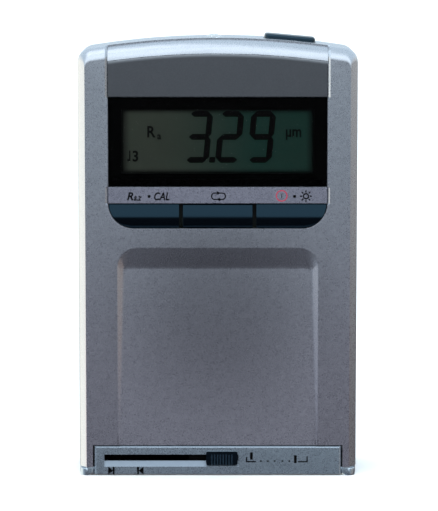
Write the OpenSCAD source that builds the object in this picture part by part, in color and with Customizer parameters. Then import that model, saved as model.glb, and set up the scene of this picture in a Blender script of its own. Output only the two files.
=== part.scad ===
// Pocket surface roughness tester, standing upright with its front towards -Y.
// The origin is on the ground under the middle of the tester, its proud knob included.

/* [Casing] */
// Width of the casing
body_w = 70.5; // [66:0.5:80]
// Height of the casing at the middle of its crown
body_h = 111.1; // [108:0.1:125]
// Depth of the casing from front to back
body_d = 24; // [23:0.5:30]
// Radius of the crowned top
crown_r = 205; // [150:5:400]
// Radius of the two top corners
corner_r = 3.8; // [2.2:0.1:5]
// Width of the rounding along the sides of the front
side_round = 1.9; // [1.2:0.1:2.6]
// Height of the rounding along the top of the front
top_round = 3.4; // [2.4:0.1:4.4]
// How far back the rounding of the edges runs
edge_depth = 4; // [3.2:0.1:4.6]
// Depth of the front cover, from the front to the seam
cover_d = 5; // [4.8:0.1:5.6]
// Rounding of the rear edges
back_round = 3; // [2:0.1:4]
// Thickness of the side walls
wall = 1.8; // [1.5:0.1:2.2]
// Thickness of the front wall
front_wall = 2.3; // [2.2:0.1:2.6]
// Length of the lip that locates the two halves
lip_len = 1.2; // [0.8:0.1:1.6]

/* [Panel] */
// Width of the sunk panel
panel_w = 55.2; // [52:0.2:58]
// Depth of the sunk panel
panel_depth = 1.6; // [1.3:0.1:1.8]
// Radius of the panel's two lower corners
panel_r = 6.4; // [5:0.1:8]
// How far the nameplate lies below the casing's surface
plate_sink = 0.4; // [0.3:0.1:0.6]
// Distance from the crown down to the window
window_drop = 14.7; // [13.5:0.1:15.5]
// Height of the window
window_h = 22.8; // [21:0.1:24]
// Height of the legend strip
strip_h = 4.1; // [3.6:0.1:5.2]
// Height of the three keys
key_h = 6.3; // [5.4:0.1:7]

/* [Display] */
// Width of the visible part of the display
view_w = 48.4; // [44:0.2:49]
// Height of the visible part of the display
view_h = 16.2; // [14:0.1:17]
// Thickness of the clear window
window_t = 0.8; // [0.6:0.1:1]
// Thickness of the black mask behind the window
mask_t = 0.35; // [0.2:0.05:0.5]
// Thickness of the display glass
lcd_t = 2.1; // [1.6:0.1:2.2]
// Thickness of the light guide
guide_t = 2; // [1.6:0.1:2.2]

/* [Keys] */
// Slit between two keys
key_slit = 0.9; // [0.6:0.05:1.2]
// Radius of the keys' rounded faces
key_crown = 7.4; // [6.5:0.1:12]
// Travel of a key
key_travel = 0.6; // [0.4:0.05:0.6]

/* [Thumb recess] */
// Width of the thumb recess
thumb_w = 50.8; // [44:0.2:54]
// Distance from the panel down to the recess
thumb_gap = 4.55; // [3.5:0.05:6]
// Depth of the recess at the foot of its upper slope
thumb_depth = 1.25; // [0.8:0.05:1.4]
// Height of the upper slope
thumb_slope = 5; // [4:0.1:8]
// Width of the side slopes at their upper ends
thumb_side = 1.75; // [1.2:0.05:2.4]
// How much narrower the side slopes are at their lower ends
thumb_flare = 1; // [0:0.1:1]
// Radius of the two upper corners
thumb_r = 5; // [3:0.1:7]

/* [Base] */
// Thickness of the base plate above the runners
base_t = 1.75; // [1.6:0.05:2]
// Height of the runners that the tester stands on
runner_h = 0.4; // [0.3:0.05:0.6]
// Width of a runner
runner_w = 2.2; // [1.6:0.1:2.6]
// Width of the front strip
strip_w = 62.8; // [60:0.2:63.4]
// Height of the front strip's upper edge above the ground
strip_z = 7.75; // [7.4:0.05:9]
// How far the front strip lies behind the casing's front
strip_sink = 0.1; // [0.05:0.05:0.3]
// Thickness of the front strip
strip_t = 2; // [1.8:0.05:2.1]
// Chamfer along the strip's edges
strip_bevel = 0.4; // [0.3:0.05:0.6]
// Left end of the slider's channel
channel_left = -28.9; // [-29.4:0.1:-28.3]
// Right end of the slider's channel
channel_right = 5.3; // [5.2:0.1:8]
// Height of the slot's middle above the ground
slot_z = 4.55; // [4.2:0.05:4.6]
// Height of the slot
slot_h = 1.7; // [1.3:0.05:1.8]
// Depth of the channel's slope below the slot
channel_depth = 0.8; // [0.6:0.05:1.1]
// Height of the channel's slope
channel_down = 1.4; // [1.2:0.05:1.6]

/* [Slider] */
// Middle of the knob when the shutter is open
knob_x = 1.05; // [0.5:0.05:1.2]
// Width of the knob
knob_w = 8; // [7:0.1:8.4]
// Height of the knob
knob_h = 3.5; // [2.8:0.1:3.6]
// How far the knob stands out in front of the casing
knob_rise = 0.6; // [0.4:0.05:0.8]
// Travel of the shutter
shutter_travel = 25; // [24.8:0.05:25.4]
// Thickness of the shutter
shutter_t = 0.8; // [0.6:0.05:0.9]

/* [Top controls] */
// Middle of the start button, along the crown
start_x = 18.2; // [16:0.1:19]
// Width of the start button
start_w = 12.8; // [11:0.1:14]
// Depth of the start button
start_d = 8; // [6.5:0.1:8.6]
// How far the start button stands out
start_rise = 1.15; // [1:0.05:1.8]
// Travel of the start button
start_travel = 0.8; // [0.5:0.05:0.9]
// Middle of the indicator lens
lens_x = -1; // [-3:0.1:3]
// Diameter of the indicator lens
lens_d = 4.2; // [3.4:0.1:4.6]
// How far the lens stands out
lens_rise = 0.8; // [0.3:0.05:0.8]

/* [Board and power] */
// Thickness of the circuit board
board_t = 1.6; // [1.2:0.1:1.8]
// Width of the circuit board
board_w = 53; // [51:0.2:53]
// Width of the battery
battery_w = 39; // [34:0.5:40]
// Height of the battery
battery_h = 24; // [20:0.5:25]
// Thickness of the battery
battery_t = 9.2; // [7:0.1:9.6]
// Thickness of the foam pad behind the battery
pad_t = 1; // [0.8:0.1:1.4]
// Radius of the charging socket's bore
socket_r = 1.75; // [1.4:0.05:2]
// Depth of the charging socket's bore
socket_depth = 9; // [8:0.1:9.4]

/* [Drive] */
// Height of the guide rods and lead screw above the ground
rod_z = 21; // [20.6:0.1:22]
// Distance of each guide rod from the lead screw
rod_y = 4.6; // [4.4:0.05:4.9]
// Radius of the guide rods and of the lead screw
rod_r = 1.5; // [1.3:0.05:1.6]
// Travel of the carriage
scan_len = 6; // [5:0.1:6.4]
// Radius of the motor
motor_r = 6.5; // [6:0.1:7]
// Length of the motor
motor_len = 12; // [10:0.1:12.6]
// Inner length of the drive's chassis
chassis_len = 31.5; // [31.2:0.1:32]

/* [Pickup] */
// Height of the pickup's pivot above the ground
pivot_z = 9; // [8.9:0.05:9.4]
// Radius of the pivot pin
pivot_r = 1; // [0.8:0.05:1.2]
// Place of the stylus at the start of its stroke
tip_x = -26.4; // [-26.6:0.05:-26]
// Distance from the stylus back to the pivot
arm_len = 24; // [23.6:0.05:24.2]
// Width of the pickup
pickup_w = 5.6; // [5:0.1:5.8]
// Height of the pickup
pickup_h = 5; // [4.4:0.1:5.2]
// Angle through which the shutter lifts the pickup
lift_angle = 14; // [13.8:0.1:14.6]

/* [Fits] */
// Gap round a part that stays put
fit = 0.1; // [0.05:0.01:0.15]
// Gap round a turning or sliding shaft
run_fit = 0.05; // [0.03:0.01:0.08]
// Gap round a key, a button or the shutter
slide_gap = 0.2; // [0.15:0.01:0.25]

/* [Hidden] */
$fn = 48;
round_steps = 6;
corner_steps = 6;
side_steps = 8;
crown_steps = 20;
least_r = 0.5;
past = 1;
press = 0.02;
root = 0.5;
side_curve = 1.25;

// Casing planes
y_front = (knob_rise - body_d) / 2;
y_back = y_front + body_d;
seam_y = y_front + cover_d;
front_in = y_front + front_wall;
back_in = y_back - wall;
half_in = body_w / 2 - wall;
crown_z = body_h - crown_r;
body_z = runner_h + base_t;
lip_t = 0.8;
lip_inset = wall - lip_t;
thumb_bed_r = 0.9;
thumb_end = 0.12;

// Panel levels
window_top = body_h - window_drop;
strip_top = window_top - window_h;
key_top = strip_top - strip_h;
panel_z = key_top - key_h;
floor_y = y_front + panel_depth;
mask_y = floor_y - mask_t;
pane_y = mask_y - window_t;
view_rise = 0.15;
view_z = (window_top + strip_top) / 2 + view_rise;
pocket_wall = 1.5;
pocket_end = seam_y - pocket_wall;
plate_drop = top_round + plate_sink + fit;
legend_proud = 0.15;
legend_bevel = 0.25;

// Display stack
lcd_y = floor_y + fit;
guide_y = lcd_y + lcd_t;
shelf_y = guide_y + guide_t;
lcd_rim = 1;
lcd_w = view_w + 2 * lcd_rim;
lcd_h = view_h + 2 * lcd_rim + 4 * fit;
holder_wall = 1;
shelf_t = 1.4;
board_y = shelf_y + shelf_t;
board_back = board_y + board_t;
contact_h = 1.8;
contact_inset = 2.2;
contact_foot = 0.4;
contact_w = lcd_w - 2 * contact_inset;

// Board
board_drop = 5.4;
board_rise = 4.2;
board_low = panel_z - board_drop;
board_top = window_top + board_rise;
board_post_in = 3;
board_post_end = 2.2;
board_post_x = board_w / 2 - board_post_in;
board_post_z = [board_low + board_post_end, board_top - board_post_end];
board_post_r = 1.6;
small_r = 0.8;
small_head_r = 1.5;
small_head_h = 1.1;
pilot_end = 0.6;
chip_w = 10;
chip_t = 1.4;
chip_r = 0.4;
chip_x = -6;
buzzer_r = 6;
buzzer_h = 3.5;
buzzer_hole_r = 1;
buzzer_x = 12;
buzzer_z = view_z - 6;

// Keys
key_names = [-1, 0, 1];
key_pitch = (panel_w - 2 * slide_gap + key_slit) / 3;
key_sink = 0.05;
key_face = y_front + key_sink;
key_mid = (key_top + panel_z) / 2;
flange_y = front_in + fit;
flange_t = 0.7;
flange_out = 0.8;
flange_in = 2;
switch_h = 1.8;
switch_w = 6;
plunger_h = 0.6;
plunger_r = 0.9;
stem_end = board_y - switch_h - plunger_h - key_travel - fit;

// Case screws
tube_r = 2.6;
post_r = 2.4;
screw_r = 1;
screw_head_r = 1.6;
screw_head_h = 1.4;
cross_w = 0.5;
screw_seat = 2;
joint_y = -3;
screw_bite = 4.8;
screw_tip = joint_y - screw_bite;
tube_gap = 0.8;
case_screw_x = half_in - tube_r - tube_gap;

// Base and slider
strip_y = y_front + strip_sink;
strip_back = strip_y + strip_t;
strip_gap = 0.33;
runner_bevel = 0.15;
runner_inset = 1.5;
tab_t = 0.8;
tab_h = 4;
tab_y = [-6, 3];
tab_x = half_in - tab_t / 2 - fit;
notch_half = strip_w / 2 + strip_gap;
notch_z = strip_z + fit;
slot_low = slot_z - slot_h / 2;
slot_high = slot_z + slot_h / 2;
shutter_z = body_z + slide_gap;
upstand_gap = 0.3;
upstand_y = strip_back + upstand_gap;
upstand_t = 1;
upstand_back = upstand_y + upstand_t;
ledge_w = 1.7;
ledge_back = upstand_back + ledge_w;
ledge_t = 1.3;
knob_front = y_front - knob_rise;
knob_back = strip_y - fit;
knob_r = 0.5;
knob_brow = 0.7;
groove_n = 8;
groove_pitch = 0.73;
groove_r = 0.22;
stem_w = 4;
stem_h = slot_h - 2 * fit;

// Pickup and its lift
pivot_x = tip_x + arm_len;
tip_z = 0.05;
hub_r = 2.4;
pickup_z = 3.6;
pickup_r = 1;
nose_r = 1.3;
nose_z = 1.3;
skid_r = 1;
stylus_r = 0.4;
stylus_top = nose_z + 1.6;
cone_h = 0.8;
peg_r = 0.7;
peg_back = 5;
peg_x = pivot_x - peg_back;
peg_z = pivot_z - 2;
lift_rate = peg_back * sin(lift_angle) / shutter_travel;
ledge_low = peg_z - peg_r - fit - lift_rate * scan_len;
ledge_x0 = peg_x;
ledge_x1 = peg_x + scan_len + shutter_travel;
window_pad = 1.2;
window_x0 = tip_x - nose_r - window_pad;
window_x1 = tip_x + scan_len + nose_r + window_pad;
window_y = 3.5;
door_x0 = window_x0 + shutter_travel - 1;
door_x1 = window_x1 + shutter_travel + 1;
upstand_top = ledge_low + lift_rate * (ledge_x1 - ledge_x0);

// Drive
plate_t = 1.5;
chassis_x0 = tip_x + 10.9;
chassis_x1 = chassis_x0 + chassis_len;
carriage_x0 = pivot_x - 5.6;
carriage_len = 14;
carriage_x1 = carriage_x0 + carriage_len;
carriage_z0 = rod_z - 4.1;
carriage_z1 = rod_z + 4.2;
carriage_half = 7;
carriage_r = 0.8;
chassis_low = carriage_z0 - 0.4;
roof_z = carriage_z1 + 0.8;
chassis_top = roof_z + 1.2;
chassis_front = ledge_back + 0.4;
rear_wall_y = carriage_half + 0.4;
rear_wall_t = 0.9;
chassis_back = rear_wall_y + rear_wall_t;
sill_y = 5.4;
sill_h = 1.8;
lug_in = pickup_w / 2 + 0.4;
lug_t = 1.5;
nut_r = 2.8;
nut_len = 6;
journal_r = 1;
bearing_r = 2;
motor_bore = 5;
ribbon_t = 0.3;
ribbon_w = 4;
ribbon_lap = 6;
ribbon_drop = 8;
sill_screw_x = [chassis_x0 + 3, chassis_x0 + chassis_len / 2, chassis_x1 - 3];
sill_boss_r = 1.5;
sill_screw_y = sill_y + sill_boss_r;
sill_boss_z = body_z + 6;
base_screw_x = half_in - post_r + fit;
base_screw_y = back_in - post_r + 2 * fit;
base_boss_z = body_z + 8;
head_sink = 1;

// Power and levels above the drive
battery_z = chassis_top + 4.3;
battery_r = 1.5;
pad_inset = 3;
case_screw_z = [chassis_top + 6.8, window_top + 4.6];
socket_y = board_back + 3.5;
socket_drop = 11.4;
socket_z = window_top - socket_drop;
socket_nose = 3;
socket_half = 3.5;
socket_len = 10.6;

// Top controls
start_r = 1.5;
start_flange = 0.8;
start_y = seam_y + 1.8 + start_d / 2;
start_stop = -wall - 0.3;
start_stem_end = start_stop - start_flange - 3.6;
start_stem_r = 1.4;
start_switch_h = 4.4;
lens_y = (board_y + board_back) / 2;
lens_dome_r = (pow(lens_d / 2, 2) + pow(lens_rise, 2)) / (2 * lens_rise);
lens_rim = 0.6;
lens_rim_t = 0.95;
lens_gap = 0.25;
lens_foot = body_h - wall - lens_rim_t - lens_gap;
led_h = 1.3;
led_r = 1.2;

// Draws an outline of the XZ plane as a solid from y0 to y1
module along_y(y0, y1) translate([0, y1, 0]) rotate([90, 0, 0]) linear_extrude(y1 - y0) children();

// Draws an outline of the YZ plane as a solid from x0 to x1
module along_x(x0, x1) translate([x0, 0, 0]) rotate([90, 0, 90]) linear_extrude(x1 - x0) children();

// Round bars along the three axes
module rod_along_x(r, x0, x1, y, z) translate([x0, y, z]) rotate([0, 90, 0]) cylinder(h = x1 - x0, r = r);
module rod_along_y(r, y0, y1, x, z) translate([x, y0, z]) rotate([-90, 0, 0]) cylinder(h = y1 - y0, r = r);
module rod_along_z(r, z0, z1, x, y) translate([x, y, z0]) cylinder(h = z1 - z0, r = r);

// Box between two corners
module block(low, high) translate(low) cube(high - low);

// Outline with four rounded corners
module soft_square(w, h, r) {
  square([w - 2 * r, h], center = true);
  square([w, h - 2 * r], center = true);
  for (sx = [-1, 1], sy = [-1, 1]) translate([sx * (w / 2 - r), sy * (h / 2 - r)]) circle(r);
}

// Puts a part on the crown, with its own Z pointing straight out
module on_crown(x, y) {
  translate([0, y, crown_z]) rotate([0, asin(x / crown_r), 0]) translate([0, 0, crown_r]) children();
}

// Casing outline seen from the front, drawn in by side and top from the outermost one
function casing_outline(side, top, low) =
  let (r = max(corner_r - side, least_r),
       cx = body_w / 2 - side - r,
       cz = crown_z + sqrt(pow(crown_r - top - r, 2) - cx * cx),
       turn = atan2(cz - crown_z, cx),
       arc = [for (i = [0:corner_steps]) let (a = turn * i / corner_steps) [r * cos(a), r * sin(a)]])
  concat(
    [[side - body_w / 2, low], [body_w / 2 - side, low]],
    [for (p = arc) [cx + p[0], cz + p[1]]],
    [for (i = [1:crown_steps - 1]) let (a = turn + (180 - 2 * turn) * i / crown_steps)
      [(crown_r - top) * cos(a), crown_z + (crown_r - top) * sin(a)]],
    [for (i = [corner_steps:-1:0]) [-cx - arc[i][0], cz + arc[i][1]]]
  );

// The mirror image of a row of points, in reverse order
function flip_x(points) = [for (i = [len(points) - 1:-1:0]) [-points[i][0], points[i][1]]];

// Outline with two rounded upper corners, and with points along its sides, which part by flare downwards
function arched_outline(half, low, high, r, flare) =
  let (side = [for (i = [0:side_steps - 1]) let (up = i / side_steps)
         [half + flare * (1 - up), low + (high - r - low) * up]],
       arc = [for (i = [0:corner_steps]) let (a = 90 * i / corner_steps)
         [half - r + r * cos(a), high - r + r * sin(a)]],
       right = concat(side, arc))
  concat(right, flip_x(right));

function at_y(outline, y) = [for (p = outline) [p[0], y, p[1]]];

// Closes the end of a loft with strips from side to side, for an outline with points along its straight sides
function strips(first, n) = [for (j = [0:n / 2 - 2]) each [
  [first + j, first + j + 1, first + n - 2 - j],
  [first + j, first + n - 2 - j, first + n - 1 - j]
]];

function turned_over(faces) = [for (f = faces) [for (i = [len(f) - 1:-1:0]) f[i]]];

// Skins a row of sections that have the same number of points, from front to back
module loft(sections, in_strips = false) {
  n = len(sections[0]);
  last = (len(sections) - 1) * n;
  front = in_strips ? strips(0, n) : [[for (j = [0:n - 1]) j]];
  back = in_strips ? strips(last, n) : [[for (j = [0:n - 1]) last + j]];
  polyhedron(
    points = [for (s = sections) each s],
    faces = concat(
      turned_over(front),
      back,
      [for (i = [0:len(sections) - 2], j = [0:n - 1])
        [i * n + j, i * n + (j + 1) % n, (i + 1) * n + (j + 1) % n]],
      [for (i = [0:len(sections) - 2], j = [0:n - 1])
        [i * n + j, (i + 1) * n + (j + 1) % n, (i + 1) * n + j]]
    )
  );
}

// How far the sides are drawn in towards the front: a crisp edge that runs out into the side
function side_in(a) = side_round * pow(cos(a), side_curve);

// Outer form of the front cover, sunk evenly below its surface
module front_form(sink) {
  loft(concat(
    [for (i = [0:round_steps]) let (a = 90 * i / round_steps)
      at_y(casing_outline(sink + side_in(a), sink + top_round * (1 - sin(a)), body_z),
           y_front + sink + edge_depth * (1 - cos(a)))],
    [at_y(casing_outline(sink, sink, body_z), seam_y + sink)]
  ));
}

module back_form() {
  loft(concat(
    [at_y(casing_outline(0, 0, body_z), seam_y)],
    [for (i = [round_steps:-1:0]) let (a = 90 * i / round_steps, in = back_round * (1 - sin(a)))
      at_y(casing_outline(in, in, body_z), y_back - edge_depth * (1 - cos(a)))]
  ));
}

module casing_section(inset, low) polygon(casing_outline(inset, inset, low));

// Sunk panel seen from the front, open at the top of the casing
module panel_shape(gap) {
  half = panel_w / 2 - gap;
  low = panel_z + gap;
  r = panel_r - gap;
  high = body_h + past;
  translate([-half, low + r]) square([2 * half, high - low - r]);
  translate([r - half, low]) square([2 * (half - r), r + 0.01]);
  for (s = [-1, 1]) translate([s * (half - r), low + r]) circle(r);
}

module panel_band(gap, low, high) {
  intersection() {
    panel_shape(gap);
    translate([-panel_w, low]) square([2 * panel_w, high - low]);
  }
}

module each_case_screw() for (s = [-1, 1], z = case_screw_z) translate([s * case_screw_x, 0, z]) children();
module each_board_screw() for (s = [-1, 1], z = board_post_z) translate([s * board_post_x, 0, z]) children();
module each_base_screw() for (s = [-1, 1]) translate([s * base_screw_x, base_screw_y, 0]) children();
module each_sill_screw() for (x = sill_screw_x) translate([x, sill_screw_y, 0]) children();
module each_rod() for (s = [-1, 1]) translate([0, s * rod_y, rod_z]) children();

// Long dip for the thumb, deepest under its upper slope and running out above the base
module thumb_dip() {
  top = panel_z - thumb_gap;
  foot = top - thumb_slope;
  end = strip_z - 2;
  rim = arched_outline(thumb_w / 2, end, top, thumb_r, 0);
  bed = arched_outline(thumb_w / 2 - thumb_side, end, foot, thumb_bed_r, thumb_flare);
  loft([
    at_y(rim, y_front - past),
    at_y(rim, y_front),
    [for (p = bed)
      [p[0], y_front + thumb_end + (thumb_depth - thumb_end) * (p[1] - end) / (foot - end), p[1]]]
  ], in_strips = true);
}

// Band of the panel over the nameplate, which follows the rounding of the casing's top
module brow() difference() {
  front_form(plate_sink);
  along_y(y_front - past, seam_y + 2 * past) casing_section(plate_drop, body_z - past);
}

module front_cover() color("silver") difference() {
  union() {
    difference() {
      front_form(0);
      along_y(front_in, seam_y + past) casing_section(wall, body_z - past);
      along_y(seam_y - lip_len - fit, seam_y + past) casing_section(lip_inset, body_z - past);
    }
    each_case_screw() rod_along_y(post_r, front_in - root, joint_y, 0, 0);
    each_board_screw() rod_along_y(board_post_r, front_in - root, board_y, 0, 0);
  }
  difference() {
    along_y(y_front - past, pocket_end) panel_shape(0);
    front_form(panel_depth);
    brow();
  }
  along_y(floor_y - past, front_in + past)
    translate([0, view_z]) square([lcd_w + 4 * fit, lcd_h + 4 * fit], center = true);
  along_y(y_front - past, front_in + past) panel_band(0, panel_z - past, key_top);
  thumb_dip();
  block([-notch_half, y_front - past, body_z - past], [notch_half, front_in + past, notch_z]);
  each_case_screw() rod_along_y(screw_r + press, screw_tip - pilot_end, joint_y + past, 0, 0);
  each_board_screw() rod_along_y(small_r + press, front_in + pilot_end, board_y + past, 0, 0);
}

module back_case() color("silver") difference() {
  union() {
    difference() {
      back_form();
      along_y(seam_y - past, back_in) casing_section(wall, body_z - past);
    }
    along_y(seam_y - lip_len, seam_y + fit) difference() {
      casing_section(lip_inset + fit, body_z);
      casing_section(wall, body_z - past);
    }
    each_case_screw() rod_along_y(tube_r, joint_y, back_in + fit, 0, 0);
    each_base_screw() rod_along_z(post_r, body_z, base_boss_z, 0, 0);
  }
  each_case_screw() rod_along_y(screw_r + fit, joint_y - past, y_back + past, 0, 0);
  each_case_screw() rod_along_y(screw_head_r + fit, screw_seat, y_back + past, 0, 0);
  each_base_screw() rod_along_z(screw_r + press, body_z - past, base_boss_z - pilot_end, 0, 0);
  rod_along_x(socket_nose + fit, -body_w / 2 - past, -half_in + past, socket_y, socket_z);
  on_crown(start_x, start_y) linear_extrude(4 * wall, center = true)
    soft_square(start_w + 2 * slide_gap, start_d + 2 * slide_gap, start_r + slide_gap);
  rod_along_z(lens_d / 2 + fit, body_h - 2 * wall, body_h + past, lens_x, lens_y);
}

// Plan of the base plate, which follows the casing's own plan
function plan_corner(inset) = concat(
  [for (i = [0:round_steps]) let (a = 90 * i / round_steps)
    [body_w / 2 - inset - side_in(a), y_front + inset + edge_depth * (1 - cos(a))]],
  [for (i = [round_steps:-1:0]) let (a = 90 * i / round_steps)
    [body_w / 2 - inset - back_round * (1 - sin(a)), y_back - inset - edge_depth * (1 - cos(a))]]
);

module base_plan() polygon(concat(plan_corner(fit), flip_x(plan_corner(fit))));

module screw_seat_from_below() {
  rod_along_z(screw_r + fit, 0, body_z + past, 0, 0);
  rod_along_z(screw_head_r + fit, 0, runner_h + head_sink, 0, 0);
}

module base() color("lightsteelblue") difference() {
  union() {
    difference() {
      translate([0, 0, runner_h]) linear_extrude(base_t) base_plan();
      block([-notch_half, y_front - past, 0], [notch_half, strip_y + root, body_z + past]);
    }
    intersection() {
      along_x(-strip_w / 2, strip_w / 2) polygon([
        [strip_y, runner_h], [strip_back, runner_h], [strip_back, strip_z],
        [strip_y + strip_bevel, strip_z], [strip_y, strip_z - strip_bevel]
      ]);
      linear_extrude(2 * strip_z) polygon([
        [-strip_w / 2 + strip_bevel, strip_y], [strip_w / 2 - strip_bevel, strip_y],
        [strip_w / 2, strip_y + strip_bevel], [strip_w / 2, strip_back],
        [-strip_w / 2, strip_back], [-strip_w / 2, strip_y + strip_bevel]
      ]);
    }
    for (s = [-1, 1]) {
      intersection() {
        along_y(y_front + runner_inset, y_back - runner_inset)
          translate([s * (body_w / 2 - runner_w / 2 - fit), 0]) polygon([
            [runner_bevel - runner_w / 2, 0], [runner_w / 2 - runner_bevel, 0],
            [runner_w / 2, runner_h + fit], [-runner_w / 2, runner_h + fit]
          ]);
        linear_extrude(body_z) base_plan();
      }
      block([s * tab_x - tab_t / 2, tab_y[0], body_z - fit],
            [s * tab_x + tab_t / 2, tab_y[1], body_z + tab_h]);
    }
  }
  along_x(channel_left, channel_right) polygon([
    [strip_y, slot_low - channel_down], [strip_y + channel_depth, slot_low],
    [strip_y + channel_depth, slot_high], [strip_y - past, slot_high],
    [strip_y - past, slot_low - channel_down]
  ]);
  block([channel_left + fit, strip_y, slot_low], [channel_right - fit, strip_back + past, slot_high]);
  translate([(window_x0 + window_x1) / 2, 0, 0]) linear_extrude(2 * body_z)
    soft_square(window_x1 - window_x0, 2 * window_y, window_pad);
  each_base_screw() screw_seat_from_below();
  each_sill_screw() screw_seat_from_below();
}

module nameplate() color("gray") along_y(y_front + plate_sink, floor_y) intersection() {
  panel_band(fit, window_top, body_h);
  casing_section(plate_drop + fit, body_z);
}

module window_mask() color("black") along_y(mask_y, floor_y) difference() {
  panel_band(fit, strip_top + fit, window_top - fit);
  translate([0, view_z]) square([view_w, view_h], center = true);
}

module display_window() color("lightcyan", 0.4) along_y(pane_y, mask_y)
  panel_band(fit, strip_top + fit, window_top - fit);

module legend_strip() color("silver") {
  face = pane_y - legend_proud;
  bevel = legend_bevel;
  intersection() {
    along_y(face, floor_y) panel_band(fit, key_top + fit, strip_top - fit);
    along_x(-panel_w / 2, panel_w / 2) polygon([
      [face, key_top], [floor_y, key_top], [floor_y, strip_top],
      [face + bevel, strip_top - fit], [face, strip_top - fit - bevel]
    ]);
  }
}

// One key: a rounded cap, a flange that stops it behind the front wall, and a stem to its switch
module key(i) color("midnightblue") {
  left = i * key_pitch - (key_pitch - key_slit) / 2;
  wide = key_pitch - key_slit;
  intersection() {
    along_y(y_front - past, flange_y + flange_t) intersection() {
      panel_band(slide_gap, panel_z, key_top - slide_gap);
      translate([left, panel_z]) square([wide, key_h]);
    }
    rod_along_x(key_crown, left - past, left + wide + past, key_face + key_crown, key_mid);
  }
  block([left + flange_in, flange_y, panel_z - flange_out],
        [left + wide - flange_in, flange_y + flange_t, key_top + flange_out]);
  rod_along_y(plunger_r, flange_y, stem_end, i * key_pitch, key_mid);
}

// Button on the crown, with a flange that stops it under the top wall and a stem to its switch
module start_button() color("midnightblue") on_crown(start_x, start_y) {
  translate([0, 0, start_stop]) linear_extrude(start_rise - start_stop)
    soft_square(start_w, start_d, start_r);
  translate([0, 0, start_stop - start_flange]) linear_extrude(start_flange)
    soft_square(start_w + 2 * start_flange, start_d + 2 * start_flange, start_r);
  translate([0, 0, start_stem_end]) cylinder(h = start_stop - start_stem_end, r = start_stem_r);
}

// Clear dome with a light pipe down to the board's edge
module indicator_lens() color("aliceblue", 0.6) translate([lens_x, lens_y, 0]) {
  intersection() {
    rod_along_z(lens_d / 2, lens_foot, body_h + lens_rise, 0, 0);
    translate([0, 0, body_h + lens_rise - lens_dome_r]) sphere(lens_dome_r);
  }
  rod_along_z(lens_d / 2 + lens_rim, lens_foot, lens_foot + lens_rim_t, 0, 0);
  rod_along_z(led_r + fit, board_top + led_h + fit, lens_foot, 0, 0);
}

module indicator_led() color("limegreen") rod_along_z(led_r, board_top, board_top + led_h, lens_x, lens_y);

module lcd_glass() color("darkolivegreen") along_y(lcd_y, guide_y)
  translate([0, view_z]) square([lcd_w, lcd_h], center = true);

module light_guide() color("honeydew") along_y(guide_y, shelf_y)
  translate([-lcd_w / 2, view_z - lcd_h / 2 + contact_h + past]) square([lcd_w, lcd_h - contact_h - past]);

module lcd_holder() color("dimgray") difference() {
  along_y(front_in + fit / 2, board_y) translate([0, view_z])
    soft_square(lcd_w + 2 * (holder_wall + 2 * fit), lcd_h + 2 * (holder_wall + 2 * fit), holder_wall);
  along_y(front_in - past, shelf_y) translate([0, view_z])
    square([lcd_w + 4 * fit, lcd_h + 4 * fit], center = true);
  along_y(shelf_y - past, board_y + past) contact_shape(fit);
}

module contact_shape(gap) translate([-contact_w / 2 - gap, view_z - lcd_h / 2 + contact_foot - gap])
  square([contact_w + 2 * gap, contact_h + 2 * gap]);

module contact_strip() color("darkslategray") along_y(guide_y, board_y) contact_shape(0);

module main_board() color("seagreen") difference() {
  along_y(board_y, board_back) translate([-board_w / 2, board_low]) square([board_w, board_top - board_low]);
  each_board_screw() rod_along_y(small_r + fit, board_y - past, board_back + past, 0, 0);
}

module processor_chip() color("black") along_y(board_back, board_back + chip_t)
  translate([chip_x, view_z]) soft_square(chip_w, chip_w, chip_r);

module buzzer() color("black") difference() {
  rod_along_y(buzzer_r, board_back, board_back + buzzer_h, buzzer_x, buzzer_z);
  rod_along_y(buzzer_hole_r, board_back + buzzer_h / 2, board_back + buzzer_h + past, buzzer_x, buzzer_z);
}

module key_switches() color("gainsboro") for (i = key_names) translate([i * key_pitch, 0, key_mid]) {
  block([-switch_w / 2, board_y - switch_h, -switch_w / 2], [switch_w / 2, board_y, switch_w / 2]);
  rod_along_y(plunger_r, board_y - switch_h - plunger_h, board_y - switch_h, 0, 0);
}

module start_switch() color("gainsboro") {
  tilt = asin(start_x / crown_r);
  x = start_x + start_stem_end * sin(tilt);
  stem_z = crown_z + (crown_r + start_stem_end) * cos(tilt);
  top = stem_z - start_travel - fit;
  body_top = top - plunger_h;
  block([x - switch_w / 2, board_back, body_top - start_switch_h],
        [x + switch_w / 2, start_y + 2 * plunger_r, body_top]);
  rod_along_z(plunger_r, body_top, top, x, start_y);
}

module charging_socket() color("dimgray") difference() {
  union() {
    rod_along_x(socket_nose, -body_w / 2, fit - half_in, socket_y, socket_z);
    block([-half_in + fit, board_back, socket_z - socket_half],
          [-half_in + socket_len, board_back + 2 * socket_half, socket_z + socket_half]);
  }
  rod_along_x(socket_r, -body_w / 2 - past, socket_depth - body_w / 2, socket_y, socket_z);
}

module battery() color("royalblue")
  translate([0, back_in - pad_t - battery_t, 0]) along_y(0, battery_t)
    translate([0, battery_z + battery_h / 2]) soft_square(battery_w, battery_h, battery_r);

module battery_pad() color("lightgray") along_y(back_in - pad_t, back_in)
  translate([0, battery_z + battery_h / 2])
    square([battery_w - 2 * pad_inset, battery_h - 2 * pad_inset], center = true);

module case_screws() color("slategray") each_case_screw() {
  rod_along_y(screw_r, screw_tip, screw_seat, 0, 0);
  difference() {
    rod_along_y(screw_head_r, screw_seat, screw_seat + screw_head_h, 0, 0);
    for (t = [0, 90]) translate([0, screw_seat + screw_head_h, 0]) rotate([0, t, 0])
      cube([2 * screw_r, screw_head_h, cross_w], center = true);
  }
}

module board_screws() color("slategray") each_board_screw() {
  rod_along_y(small_r, front_in + 2 * pilot_end, board_back, 0, 0);
  rod_along_y(small_head_r, board_back, board_back + small_head_h, 0, 0);
}

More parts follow.
